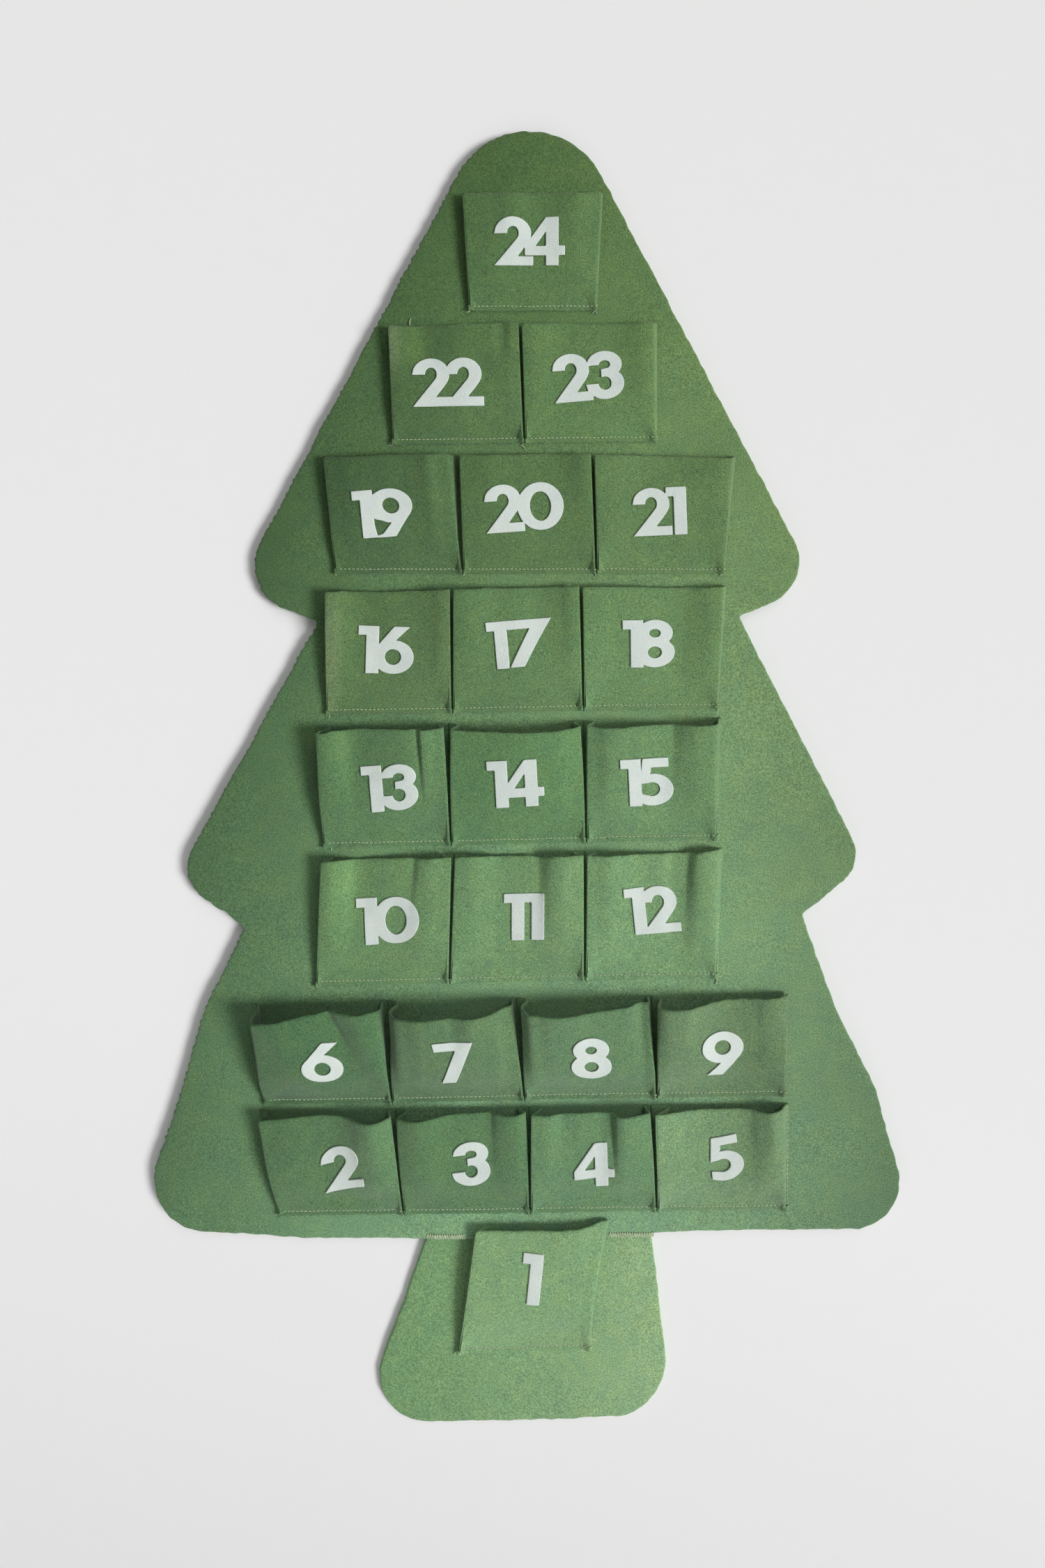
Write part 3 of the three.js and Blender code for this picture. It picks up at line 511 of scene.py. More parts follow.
def cut_felt(loops, thickness, spacing):
    """A flat piece of felt cut along closed loops, the outer one anticlockwise and holes
    clockwise. The section of its edge is carried along each loop, and the two faces inside the
    innermost line are filled with triangles over a square grid of points. Returns points as
    x, height and how far behind the front face, and blocks of faces."""
    profile = CUT_EDGE * thickness
    points, blocks, firsts, inner = [], [], [], []
    count = 0
    for loop in loops:
        left = leftward(loop)
        narrow = np.minimum(1.0, 0.6 * room(loop, left, loops) / profile[0, 0])
        rings = loop[None] + (left * narrow[:, None])[None] * profile[:, 0, None, None]
        depth = np.broadcast_to(profile[:, 1, None, None], rings.shape[:2] + (1,))
        points.append(np.concatenate([rings, depth], axis=-1).reshape(-1, 3))
        index = count + np.arange(rings.shape[0] * len(loop)).reshape(rings.shape[:2])
        ahead = np.roll(index, -1, axis=1)
        blocks.append(np.stack(
            [index[:-1], index[1:], ahead[1:], ahead[:-1]], axis=-1).reshape(-1, 4))
        firsts.append((index[0], index[-1]))
        inner.append(rings[0])
        count += index.size
    low = np.concatenate(inner).min(axis=0)
    high = np.concatenate(inner).max(axis=0)
    grid = np.stack(np.meshgrid(
        np.arange(low[0], high[0], spacing), np.arange(low[1], high[1], spacing)), axis=-1)
    grid = grid.reshape(-1, 2)
    grid = grid[clear_of(grid, inner, spacing * 0.45)]
    grid = grid[inside(grid, inner)]
    flat = np.concatenate(inner + [grid])
    edges = []
    first = 0
    for loop in inner:
        ring = first + np.arange(len(loop))
        edges.append(np.stack([ring, np.roll(ring, -1)], axis=1))
        first += len(loop)
    cut = delaunay_2d_cdt(flat.tolist(), np.concatenate(edges).tolist(), [], 0, 1e-5)
    if len(cut[0]) != len(flat):
        raise RuntimeError("a felt outline crosses itself")
    source = np.array([came[0] for came in cut[3]])
    triangles = source[np.array(cut[2])]
    middle = flat[triangles].mean(axis=1)
    triangles = triangles[inside(middle, inner)]
    a, b, c = (flat[triangles[:, k]] for k in range(3))
    area = (b[:, 0] - a[:, 0]) * (c[:, 1] - a[:, 1]) - (b[:, 1] - a[:, 1]) * (c[:, 0] - a[:, 0])
    triangles = np.where(area[:, None] > 0, triangles, triangles[:, ::-1])
    rings_front = np.concatenate([front for front, _ in firsts])
    rings_back = np.concatenate([back for _, back in firsts])
    new = np.arange(len(grid))
    front = np.concatenate([rings_front, count + new])
    back = np.concatenate([rings_back, count + len(grid) + new])
    points.append(np.column_stack([grid, np.zeros(len(grid))]))
    points.append(np.column_stack([grid, np.full(len(grid), thickness)]))
    blocks += [front[triangles], back[triangles][:, ::-1]]
    return np.concatenate(points), blocks


def closed_cloth(outer, thickness):
    """A cloth from a grid of points on its outer side, rows by columns. Its inner side is the
    outer one moved back along the normal, and both sides run on to a shared line halfway
    between them, a little past the edge, which rounds the cut edge."""
    along = np.gradient(outer, axis=1)
    upward = np.gradient(outer, axis=0)
    normal = np.cross(along, upward)
    normal /= np.linalg.norm(normal, axis=2, keepdims=True)
    inner = outer - normal * thickness
    sides = []
    for side in (outer, inner):
        grown = np.pad(side, ((1, 1), (1, 1), (0, 0)), mode="edge")
        for near, far, step in ((1, 0, 2), (-2, -1, -3)):
            run = grown[near] - grown[step]
            grown[far] += run / np.linalg.norm(run, axis=-1, keepdims=True) * thickness * 0.25
            run = grown[:, near] - grown[:, step]
            size = np.maximum(np.linalg.norm(run, axis=-1, keepdims=True), 1e-6)
            grown[:, far] = grown[:, near] + run / size * thickness * 0.25
        sides.append(grown)
    border = np.ones(sides[0].shape[:2], dtype=bool)
    border[1:-1, 1:-1] = False
    shared = (sides[0] + sides[1]) / 2.0
    index_out = np.arange(border.size).reshape(border.shape)
    inner_index = np.full(border.shape, -1)
    inner_index[1:-1, 1:-1] = border.size + np.arange(outer.shape[0] * outer.shape[1]).reshape(
        outer.shape[:2])
    index_in = np.where(border, index_out, inner_index)
    points = np.concatenate([
        np.where(border[..., None], shared, sides[0]).reshape(-1, 3), inner.reshape(-1, 3)])

    def quads(index):
        return np.stack([
            index[:-1, :-1], index[:-1, 1:], index[1:, 1:], index[1:, :-1]], axis=-1).reshape(-1, 4)

    return points, [quads(index_out), quads(index_in)[:, ::-1]]


def lift(strip, x):
    """How far a strip's slant lifts it at x."""
    left, right = strip.foot[0], strip.foot[-1]
    return strip.rise * ((x - left) / (right - left) - 0.5)


def read_strips():
    """The strips with their pockets, from the table."""
    strips = []
    for days, bottom, height, rise, foot, mouth, out in STRIPS:
        strip = SimpleNamespace(
            days=days, bottom=bottom, height=height, rise=rise, foot=foot,
            face=TRUNK_FRONT if days == (1,) else TREE_FRONT,
            name=f"{days[0]:02d}_{days[-1]:02d}", pockets=[])
        for i, day in enumerate(days):
            last = day == days[-1]
            tuck = RIGHT_TUCKS.get(day, TUCK_MOUTH)
            right = EDGES[day][:2] if last else (
                foot[i + 1] - FOLD_GAP, mouth[i + 1] - FOLD_GAP - max(0.0, -tuck))
            strip.pockets.append(SimpleNamespace(
                day=day, strip=strip, last=last, seam=bottom + SEAM_RISE,
                height=height - SEAM_RISE, foot=(foot[i] + FOLD_GAP, right[0]),
                mouth=(mouth[i] + FOLD_GAP, right[1]), out=(out[i], out[i + 1]),
                tucks=(LEFT_TUCKS.get(day, TUCK_MOUTH), tuck)))
        fold, _, strip.end, strip.end_mouth, strip.allowance = EDGES[days[-1]]
        strip.folds = [foot[0] + FOLD_GAP] + list(foot[1:-1]) + [fold]
        strips.append(strip)
    return strips


def stack(distance, spread=STACK_SPREAD):
    """Depth of the sewn-down felt near a fold, where it lies in three layers: the felt's own
    thickness, and a bell of Gauss over the distance from the fold."""
    near = np.exp(-((distance / spread) ** 2))
    return POCKET_FELT + (FOOT_STACK - POCKET_FELT) * STACK_SHARE * near


def through(values, share):
    """A smooth line through even values, at shares of the way along: between two values it is
    the cubic whose slope at each is half the step between that value's neighbours."""
    values = np.array(values)
    at = np.clip(share, 0.0, 1.0) * (len(values) - 1)
    i = np.minimum(at.astype(int), len(values) - 2)
    t = at - i
    a, b = values[np.maximum(i - 1, 0)], values[i]
    c, d = values[i + 1], values[np.minimum(i + 2, len(values) - 1)]
    return b + 0.5 * t * (c - a + t * (2 * a - 5 * b + 4 * c - d + t * (3 * (b - c) + d - a)))


def set_folds(day, across, up):
    """Depth of the folds set in a front: bells that fade towards the foot, and creases that
    fall in slowly on one side and come out steeply on the other."""
    depth = 0.0 * across * up
    for place, wide, deep, long in SWELLS.get(day, ()):
        depth = depth + deep * bell((across - place) / wide) * smooth((up - 1.0 + long) / long)
    for place, wide, deep, long, lean, steep in CREASES.get(day, ()):
        apart = across - place - lean * (1.0 - up)
        near = np.clip(1.0 + apart / wide, 0.0, 1.0) ** 2
        far = np.clip(1.0 - apart / steep, 0.0, 1.0) ** 1.5
        fade = smooth((up - 1.0 + long) / long)
        depth = depth - deep * np.where(apart < 0.0, near, far) * fade
    return depth


def bowed(day, foot, mouth, up):
    """x of a pocket's right side, between foot and mouth, with the bow of that day."""
    return mix(foot, mouth, up) - BOWS.get(day, 0.0) * 4.0 * up * (1.0 - up)


def front(pocket, across, up):
    """The outer side of a pocket's front, as x, depth and height. across runs from -1 to 1
    between its folds and up from 0 at the seam to 1 at the mouth. The depth runs from the sewn
    felt's to the mouth's in a shallow belly, with the mouth's own line and the folds that have
    set in the felt added. The cut edge follows from the cloth's length and its slope."""
    day = pocket.day
    side = (across + 1.0) / 2.0
    left = mix(pocket.foot[0], pocket.mouth[0], up)
    right = bowed(day, pocket.foot[1], pocket.mouth[1], up)
    x = mix(left, right, side)
    half = (right - left) / 2.0
    read = side - LEANS.get(day, 0.0) * (1.0 - up) / 2.0
    stand = through(STANDS[day], read)
    reach = mix(pocket.out[0], pocket.out[1], side) + stand - FOOT_STACK
    depth = FOOT_STACK + reach * (up * (1.0 + BELLY) - BELLY * up * up)
    begun = smooth(up / DISH_FULL)
    sewn = stack((1.0 - np.abs(across)) * half, mix(STACK_SPREAD, SAG_SPREAD, begun))
    depth = depth - (FOOT_STACK - sewn) * (1.0 - smooth(up / SEWN_END))
    deep, place = DISHES[day]
    bend = side ** (np.log(0.5) / np.log(place))
    low = begun * (1.0 - smooth((up - DISH_FADE) / DISH_FADE_LONG))
    depth = depth + deep * 4.0 * bend * (1.0 - bend) * low
    rise = np.sqrt(pocket.height ** 2 - reach ** 2)
    z = pocket.seam + rise * up + through(CUTS.get(day, EVEN), side) * up * up
    depth = depth + set_folds(day, across, up)
    loose = smooth(up / LOOSE)
    depth = depth + loose * (0.4 * ripple(x, z, 38.0, 100 + day)
                             + 0.14 * ripple(x, z, 13.0, 200 + day))
    curl = CURLS.get(day, CURL) * smooth((across - 0.6) / 0.4) * smooth((up - 0.6) / 0.4)
    z = z + curl * 0.4 + smooth((up - 0.9) / 0.1) * 0.25 * ripple(x, z * 0.0, 9.0, 300 + day)
    pulled = np.exp(-((up * pocket.height / SEAM_PULL_SPREAD) ** 2))
    depth = depth - curl * 0.5 - SEAM_PULL * pulled
    return x, depth, z + lift(pocket.strip, x)


def depth_at(pocket, x, z):
    """Depth of a pocket's front at x and height, by four corrections of a first guess."""
    across = np.zeros_like(x)
    up = np.clip((z - pocket.seam) / pocket.height, 0.0, 1.0)
    for _ in range(4):
        at_x, depth, at_z = front(pocket, across, up)
        half = mix(pocket.foot[1] - pocket.foot[0], pocket.mouth[1] - pocket.mouth[0], up) / 2.0
        across = np.clip(across + (x - at_x) / half, -1.0, 1.0)
        up = np.clip(up + (z - at_z) / pocket.height, 0.0, 1.0)
    return front(pocket, across, up)[1]


def to_points(strip, x, depth, z):
    """x, depth and height as points, standing off the strip's felt and swaying with it."""
    x, depth, z = np.broadcast_arrays(x, depth, z)
    return np.stack([x, strip.face - depth - sway(x, z), z], axis=-1)


# Where a pocket starts to follow its front, and the share of its depth that the change takes
BLEND_START = 1.9
BLEND_SHARE = 0.2

# Points up a pocket's cloth, closer towards the seam by a power, and across its front, a gusset
# and a post, whose ends are so far from the fold and the felt below. The running mean is
# taken few times for a shallow fold and many for a deep or round one, and it reaches so many
# columns into the front.
ROWS = 46
ROWS_CLOSER = 1.15
FRONT_COLUMNS = 96
GUSSET_COLUMNS = 12
POST_COLUMNS = 5
POST_INSET = 0.4
POST_GAP = 0.05
FOLD_PASSES = 4
WIDE_PASSES = 36
FOLD_REACH = 8


def pocket_section(pocket):
    """Outer side of a pocket's cloth as rows from seam to mouth and columns along one line: the
    half post on the tree, the turn at its edge, the gusset forward to the fold, the front, and
    the same on the other side. The turns are rounded by a running mean along the columns."""
    up = (np.linspace(0.0, 1.0, ROWS) ** ROWS_CLOSER)[:, None]
    across = np.linspace(-1.0, 1.0, FRONT_COLUMNS)[None]
    x, depth, z = front(pocket, across, up)
    flat = np.full_like(up, POCKET_FELT + POST_GAP)
    high = pocket.seam + pocket.height * up

    def line(start, end, count):
        share = np.linspace(0.0, 1.0, count, endpoint=False)[None]
        return [mix(a, b, share) for a, b in zip(start, end)]

    def wall(root_x, end_x, column):
        root = (root_x, flat, high + lift(pocket.strip, root_x))
        end = (end_x, flat, high + lift(pocket.strip, end_x))
        return end, root, [part[:, column:][:, :1] for part in (x, depth, z)]

    tuck = mix(TUCK_FOOT, pocket.tucks[0], up)
    end, root, fold = wall(x[:, :1] + tuck, x[:, :1] + POST_INSET, 0)
    left_post = line(end, root, POST_COLUMNS)
    left_wall = line(root, fold, GUSSET_COLUMNS)
    if pocket.last:
        strip = pocket.strip
        sewn = bowed(pocket.day, strip.end, strip.end_mouth, up)
        root = sewn - max(0.0, strip.allowance)
        end, root, fold = wall(root, root + strip.allowance, -1)
    else:
        tuck = mix(TUCK_FOOT, pocket.tucks[1], up)
        inset = x[:, -1:] - POST_INSET - np.minimum(tuck, 0.0)
        end, root, fold = wall(x[:, -1:] - tuck, inset, -1)
    right_wall = [part[:, ::-1] for part in line(root, fold, GUSSET_COLUMNS)]
    right_post = [part[:, ::-1] for part in line(end, root, POST_COLUMNS)]
    grid = [np.concatenate(parts, axis=1) for parts in zip(
        left_post, left_wall, (x, depth, z), right_wall, right_post)]
    grid = np.stack(grid, axis=-1)
    rounded, levels = grid.copy(), {}
    for turn in range(1, WIDE_PASSES + 1):
        rounded[:, 1:-1] = (rounded[:, :-2] + 2.0 * rounded[:, 1:-1] + rounded[:, 2:]) / 4.0
        levels[turn] = rounded.copy() if turn in (FOLD_PASSES, WIDE_PASSES) else None
    deep = smooth((grid[:, :, 1:2].max(axis=1, keepdims=True) - 10.0) / 12.0)
    columns = np.arange(grid.shape[1])
    right = (columns > len(columns) / 2)[None, :, None] * smooth(up / 0.4)[:, :, None]
    deep = np.maximum(deep, ROUNDS.get(pocket.day, 0.0) * right)
    rounded = mix(levels[FOLD_PASSES], levels[WIDE_PASSES], deep)
    sides = POST_COLUMNS + GUSSET_COLUMNS
    from_end = np.minimum(columns, columns[::-1]) - sides
    share = (1.0 - smooth(from_end / FOLD_REACH))[None, :, None]
    return mix(grid, rounded, share)


# Thread, laid in stitches of four rings of six points
STITCH_RINGS = np.array([(-1.0, 0.35), (-0.62, 1.0), (0.62, 1.0), (1.0, 0.35)])


def stitches(centre, along, length, width):
    """Stitches that face the viewer, as short rounded rods. Each is four rings round its line,
    small at the ends, and is given by its middle and its direction."""
    along = np.broadcast_to(along, centre.shape)
    out = np.broadcast_to([0.0, -1.0, 0.0], centre.shape)
    across = np.cross(along, out)
    angle = np.arange(6) * np.pi / 3.0
    ring = np.stack([np.cos(angle), np.sin(angle)], axis=-1)
    half, thick = np.asarray(length) / 2.0, width / 2.0
    shift = along[:, None, None] * STITCH_RINGS[None, :, 0, None, None] * half
    round_line = (across[:, None, None] * ring[None, None, :, :1]
                  + out[:, None, None] * ring[None, None, :, 1:])
    points = (centre[:, None, None] + shift
              + round_line * (STITCH_RINGS[:, 1] * thick)[None, :, None, None])
    index = np.arange(points.shape[0] * 24).reshape(-1, 4, 6)
    ahead = np.roll(index, -1, axis=2)
    sides = np.stack([index[:, :-1], ahead[:, :-1], ahead[:, 1:], index[:, 1:]], axis=-1)
    return points.reshape(-1, 3), [sides.reshape(-1, 4), index[:, 0, ::-1], index[:, 3]]


def gather(parts):
    """Several sets of points and face blocks as one."""
    points, blocks, count = [], [], 0
    for some, faces in parts:
        points.append(some)
        blocks += [block + count for block in faces]
        count += len(some)
    return np.concatenate(points), blocks


def unit(vectors):
    return vectors / np.linalg.norm(vectors, axis=-1, keepdims=True)


def pitched(start, end, pitch):
    """Evenly spaced places from start to end, about pitch apart."""
    return np.linspace(start, end, max(2, int(round(abs(end - start) / pitch)) + 1))


# Rods that a loose thread is made of
TAIL_PARTS = 6
# Threads that stick out of the sewing, as (x, height, run across, run up, bend, depth)
TAILS = {
    "22_23": ((-81.5, 765.5, 0.6, 5.0, 0.6, 1.0), (-4.5, 682.0, 3.0, -2.5, 0.5, 0.6)),
    "13_15": ((-137.0, 403.5, 0.4, -3.6, 0.3, 0.5),),
    "10_12": ((128.0, 311.5, 7.0, 0.4, 0.3, 0.9), (131.5, 313.5, -0.4, -7.0, 1.0, 0.8)),
    "01_01": ((39.1, 57.0, 7.8, 0.2, 0.2, 2.6), (44.8, 60.5, 0.0, -7.0, 0.3, 2.3),
              (43.0, 54.0, -1.0, -6.0, 0.8, 0.5), (-47.0, 55.0, -0.6, -4.5, 0.6, 0.5)),
}


def loose_ends(strip):
    """The threads of a strip that are in the table, and one or two short ones, drawn with a
    fixed seed, at the foot of each post where the sewing starts and ends."""
    draw = np.random.default_rng(900 + strip.days[0])
    ends = list(TAILS.get(strip.name, ()))
    for x in strip.folds:
        low = strip.bottom + 0.6 + lift(strip, x)
        for _ in range(draw.integers(1, 3)):
            turn = draw.uniform(-1.0, 1.0)
            long = draw.uniform(1.5, 3.4)
            start = x + draw.uniform(-1.2, 1.2)
            ends.append((start, low, long * np.sin(turn), -long * np.cos(turn),
                         draw.uniform(-0.8, 0.8), 0.35))
    return ends


def tails(face, ends, width):
    """Loose threads as short rods laid end over end along a parabola, off the felt by their
    depth and drooping back to it."""
    share = (np.arange(TAIL_PARTS) + 0.5) / TAIL_PARTS
    x, z, across, rise, bend, depth = (ends[:, k, None] for k in range(6))
    long = np.hypot(across, rise)
    curve = 4.0 * bend * share * (1.0 - share)
    at_x = x + across * share - rise / long * curve
    at_z = z + rise * share + across / long * curve
    slope = 4.0 * bend * (1.0 - 2.0 * share)
    along = unit(np.stack([
        across - rise / long * slope, across * 0.0 + 0.0 * slope, rise + across / long * slope],
        axis=-1))
    off = depth * (1.0 - 0.5 * share) + width * 0.5
    centre = np.stack([at_x, face - off - sway(at_x, at_z), at_z], axis=-1).reshape(-1, 3)
    size = np.repeat(long / TAIL_PARTS * 1.5, TAIL_PARTS, axis=1).reshape(-1)
    return stitches(centre, along.reshape(-1, 3), size[:, None, None, None], width)


# Zigzag that holds the trunk behind the tree's hem, as x from and to, and height. Its thread
# is so many times as thick as the other.
ZIGZAGS = ((-69.7, -43.6, 131.0), (57.5, 88.0, 132.0))
ZIGZAG_STEP = 1.7
ZIGZAG_TALL = 3.7
ZIGZAG_THICK = 1.3


def zigzag(width):
    """Strokes that lean by turns to the left and to the right, half a step apart, along the
    tree's hem."""
    parts = []
    for start, end, height in ZIGZAGS:
        x = pitched(start, end, ZIGZAG_STEP / 2.0)
        lean = np.where(np.arange(len(x)) % 2 == 0, 1.0, -1.0) * ZIGZAG_STEP / 2.0
        z = height + 0.25 * ripple(x, x * 0.0, 11.0, 71)
        forward = sway(x, z) + tab_relief(x, z) + 0.35 * width
        centre = np.stack([x, TREE_FRONT - forward, z], axis=-1)
        along = unit(np.stack([lean, x * 0.0, x * 0.0 + ZIGZAG_TALL], axis=-1))
        parts.append(stitches(centre, along, ZIGZAG_TALL, width * ZIGZAG_THICK))
    return gather(parts)


class Nodes:
    """Short ways to add shader nodes to a material."""

    def __init__(self, name, roughness):
        self.material = bpy.data.materials.new(name)
        self.material.use_nodes = True
        self.tree = self.material.node_tree
        self.shader = self.tree.nodes["Principled BSDF"]
        self.shader.inputs["Roughness"].default_value = roughness
        self.shader.inputs["Specular IOR Level"].default_value = 0.15

    def add(self, kind, links=(), **settings):
        node = self.tree.nodes.new(kind)
        for name, value in settings.items():
            setattr(node, name, value)
        for socket, value in dict(links).items():
            if isinstance(value, bpy.types.NodeSocket):
                self.tree.links.new(value, node.inputs[socket])
            else:
                node.inputs[socket].default_value = value
        return node

    def noise(self, place, scale, detail=2.0, roughness=0.6, distortion=0.0):
        return self.add("ShaderNodeTexNoise", {
            "Vector": place, "Scale": scale, "Detail": detail, "Roughness": roughness,
            "Distortion": distortion}).outputs["Fac"]

    def spread(self, value, low, high, to_low, to_high):
        return self.add("ShaderNodeMapRange", {
            "Value": value, "From Min": low, "From Max": high, "To Min": to_low,
            "To Max": to_high}).outputs["Result"]

    def maths(self, operation, a, b):
        return self.add("ShaderNodeMath", {0: a, 1: b}, operation=operation).outputs[0]

    def end_in(self, share, other):
        """Ends the material in a mix of its own shader and a share of another."""
        both = self.add("ShaderNodeMixShader", {
            "Fac": share, 1: self.shader.outputs[0], 2: other}).outputs[0]
        self.tree.links.new(both, self.tree.nodes["Material Output"].inputs["Surface"])


# The felt's patterns: scale, detail, roughness and distortion of the noise, its low and high
# end, and by what share it changes the dye. Then the casts of its dark and its light clouds.
FELT_PATTERNS = {
    "specks": (1150.0, 2.0, 0.6, 0.0, 0.3, 0.7, 0.42),
    "fibres": (700.0, 3.0, 0.65, 2.0, 0.3, 0.7, 0.20),
    "clouds": (75.0, 3.0, 0.6, 0.6, 0.3, 0.7, 0.05),
    "slow": (14.0, 2.0, 0.6, 0.0, 0.35, 0.65, 0.04),
}
COOL_CAST = (-0.04, 0.0, 0.045)
WARM_CAST = (0.045, 0.005, -0.055)


def felt_material(name, place, sheen=0.25, fleck=1.0):
    """Felt: each point's dye with its painted light and shade, times fibre specks about 1 mm long,
    clouds about 10 mm wide and slow changes, a yellower or bluer cast where the clouds are light
    or dark, and a fine bump."""
    nodes = Nodes(name, 0.95)
    if place:
        at = nodes.add("ShaderNodeAttribute", attribute_name=place).outputs["Vector"]
    else:
        at = nodes.add("ShaderNodeTexCoord").outputs["Object"]
    dye_and_painted_light = nodes.add("ShaderNodeAttribute", attribute_name="dye_and_painted_light").outputs["Color"]
    noises = {key: nodes.noise(at, *FELT_PATTERNS[key][:4]) for key in FELT_PATTERNS}
    shade = 1.0
    for key, pattern in noises.items():
        low, high, share = FELT_PATTERNS[key][4:]
        part = nodes.spread(pattern, low, high, 1.0 - share * fleck, 1.0 + share * fleck)
        shade = nodes.maths("MULTIPLY", shade, part)
    lit = nodes.add("ShaderNodeVectorMath", {0: dye_and_painted_light, 1: shade}, operation="MULTIPLY")
    cool, warm = (tuple(1.0 + fleck * part for part in cast) + (1.0,)
                  for cast in (COOL_CAST, WARM_CAST))
    cast = nodes.add("ShaderNodeMix", {
        "Factor": nodes.spread(noises["clouds"], 0.35, 0.65, 0.0, 1.0), "A": cool, "B": warm},
        data_type="RGBA")
    colour = nodes.add("ShaderNodeVectorMath", {
        0: lit.outputs[0], 1: cast.outputs["Result"]}, operation="MULTIPLY")
    nodes.tree.links.new(colour.outputs[0], nodes.shader.inputs["Base Color"])
    height = nodes.maths("ADD", nodes.maths("MULTIPLY", noises["specks"], 0.6),
                         noises["fibres"])
    bump = nodes.add("ShaderNodeBump", {
        "Height": height, "Strength": 0.55, "Distance": 0.0006})
    nodes.tree.links.new(bump.outputs["Normal"], nodes.shader.inputs["Normal"])
    nodes.shader.inputs["Sheen Weight"].default_value = sheen
    nodes.shader.inputs["Sheen Roughness"].default_value = 0.5
    return nodes.material


def thread_material(name, colour):
    """Twisted thread: its colour with slow changes, and fine slanting ridges."""
    nodes = Nodes(name, 0.7)
    at = nodes.add("ShaderNodeTexCoord").outputs["Object"]
    change = nodes.noise(at, 400.0)
    shade = nodes.spread(change, 0.3, 0.7, 0.75, 1.2)
    lit = nodes.add("ShaderNodeVectorMath", {0: tuple(colour), 1: shade}, operation="MULTIPLY")
    nodes.tree.links.new(lit.outputs[0], nodes.shader.inputs["Base Color"])
    ply = nodes.add("ShaderNodeTexWave", {"Vector": at, "Scale": 900.0, "Distortion": 1.0})
    bump = nodes.add("ShaderNodeBump", {
        "Height": ply.outputs["Fac"], "Strength": 0.3, "Distance": 0.0001})
    nodes.tree.links.new(bump.outputs["Normal"], nodes.shader.inputs["Normal"])
    return nodes.material


def material(key):
    """The finish of that name, made when it is first asked for."""
    name = f"calendar_{key}"
    if name in bpy.data.materials:
        return bpy.data.materials[name]
    colours = bpy.context.scene.calendar_colours
    made = {
        "tree_felt": lambda: felt_material(name, None),
        "pocket_felt": lambda: felt_material(name, "felt_place"),
        "number_felt": lambda: felt_material(name, None, 0.1, 0.15),
        "thread": lambda: thread_material(name, colours.thread),
    }
    return made[key]()


def shape_area(line):
    """Area inside a closed line, by the shoelace sum."""
    ahead = np.roll(line, -1, axis=0)
    return abs((line[:, 0] * ahead[:, 1] - line[:, 1] * ahead[:, 0]).sum()) / 2.0


# Distances between points: along the cut outlines and over the faces of the sheets, the loop
# and the digits, in mm
SHEET_PITCH, SHEET_GRID = 1.3, 7.0
LOOP_PITCH, LOOP_GRID = 1.8, 4.0
DIGIT_PITCH, DIGIT_GRID = 1.1, 2.6
# How much paler the loop's felt is than the tree's would be there
LOOP_SHADE = 1.1


def declare_cut(loop, holes=()):
    """Works out the area inside a flat cut piece's outline less its holes, in square metres."""
    area = (shape_area(loop) - sum(shape_area(hole) for hole in holes)) / 1e6


def tab_relief(x, z):
    """How far the trunk's top, sewn behind the tree's hem, pushes the tree forward there."""
    left, right, tall = TRUNK_TAB
    wide = smooth((x - left + 2.0) / 4.0) * smooth((right + 2.0 - x) / 4.0)
    return 0.7 * wide * smooth((TREE_HEM + tall + 1.5 - z) / 4.0)


class CALENDAR_OT_backing(bpy.types.Operator):
    """Cut the tree and the trunk from thick felt"""

    bl_idname = "calendar.backing"
    bl_label = "Tree and trunk"

    def execute(self, context):
        sizes = context.scene.calendar_sizes
        colours = context.scene.calendar_colours
        thick = mm(sizes.tree_felt)
        for name, node, corners, face, base in (
                ("tree_sheet", "tree_backing", TREE_CORNERS, TREE_FRONT, colours.tree),
                ("trunk_sheet", "trunk_panel", TRUNK_CORNERS, TRUNK_FRONT, colours.trunk)):
            loop = hand_cut(rounded_path(corners, SHEET_PITCH), mm(sizes.edge_wave))
            points, blocks = cut_felt([loop], thick, SHEET_GRID)
            x, z, behind = points.T
            forward = sway(x, z)
            if node == "tree_backing":
                forward = forward + tab_relief(x, z)
                # The tree's colour carries painted light, brighter to the right and lower down
                dye_and_painted_light = dye_with_painted_light(x, z, base)
            else:
                # The trunk's colour carries painted light, brighter to the right
                dye_and_painted_light = np.array(base) * np.exp(x[:, None] / 100.0 * np.array(TRUNK_PAINTED_LIGHT_SLOPE))
            placed = np.column_stack([x, face + behind - forward, z])
            piece = new_mesh(name, placed, blocks, material("tree_felt"), dye_and_painted_light)
            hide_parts(node)
            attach(piece, "backing")
            on_trunk = node == "trunk_panel"
            sewn_on = [f"{kind}_{strip.name}" for strip in read_strips()
                       for kind in ("hem", "stitches") if (strip.face == TRUNK_FRONT) == on_trunk]
            if not on_trunk:
                sewn_on.append("stitches_trunk_top")
            declare_cut(loop)
        return {"FINISHED"}


def node_mesh(node):
    """A CAD node's mesh, and its points in millimetres."""
    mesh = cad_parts[node].data
    points = np.empty(len(mesh.vertices) * 3)
    mesh.vertices.foreach_get("co", points)
    return mesh, points.reshape(-1, 3) * 1000.0 + np.array([0.0, 0.0, HANG_HEIGHT])


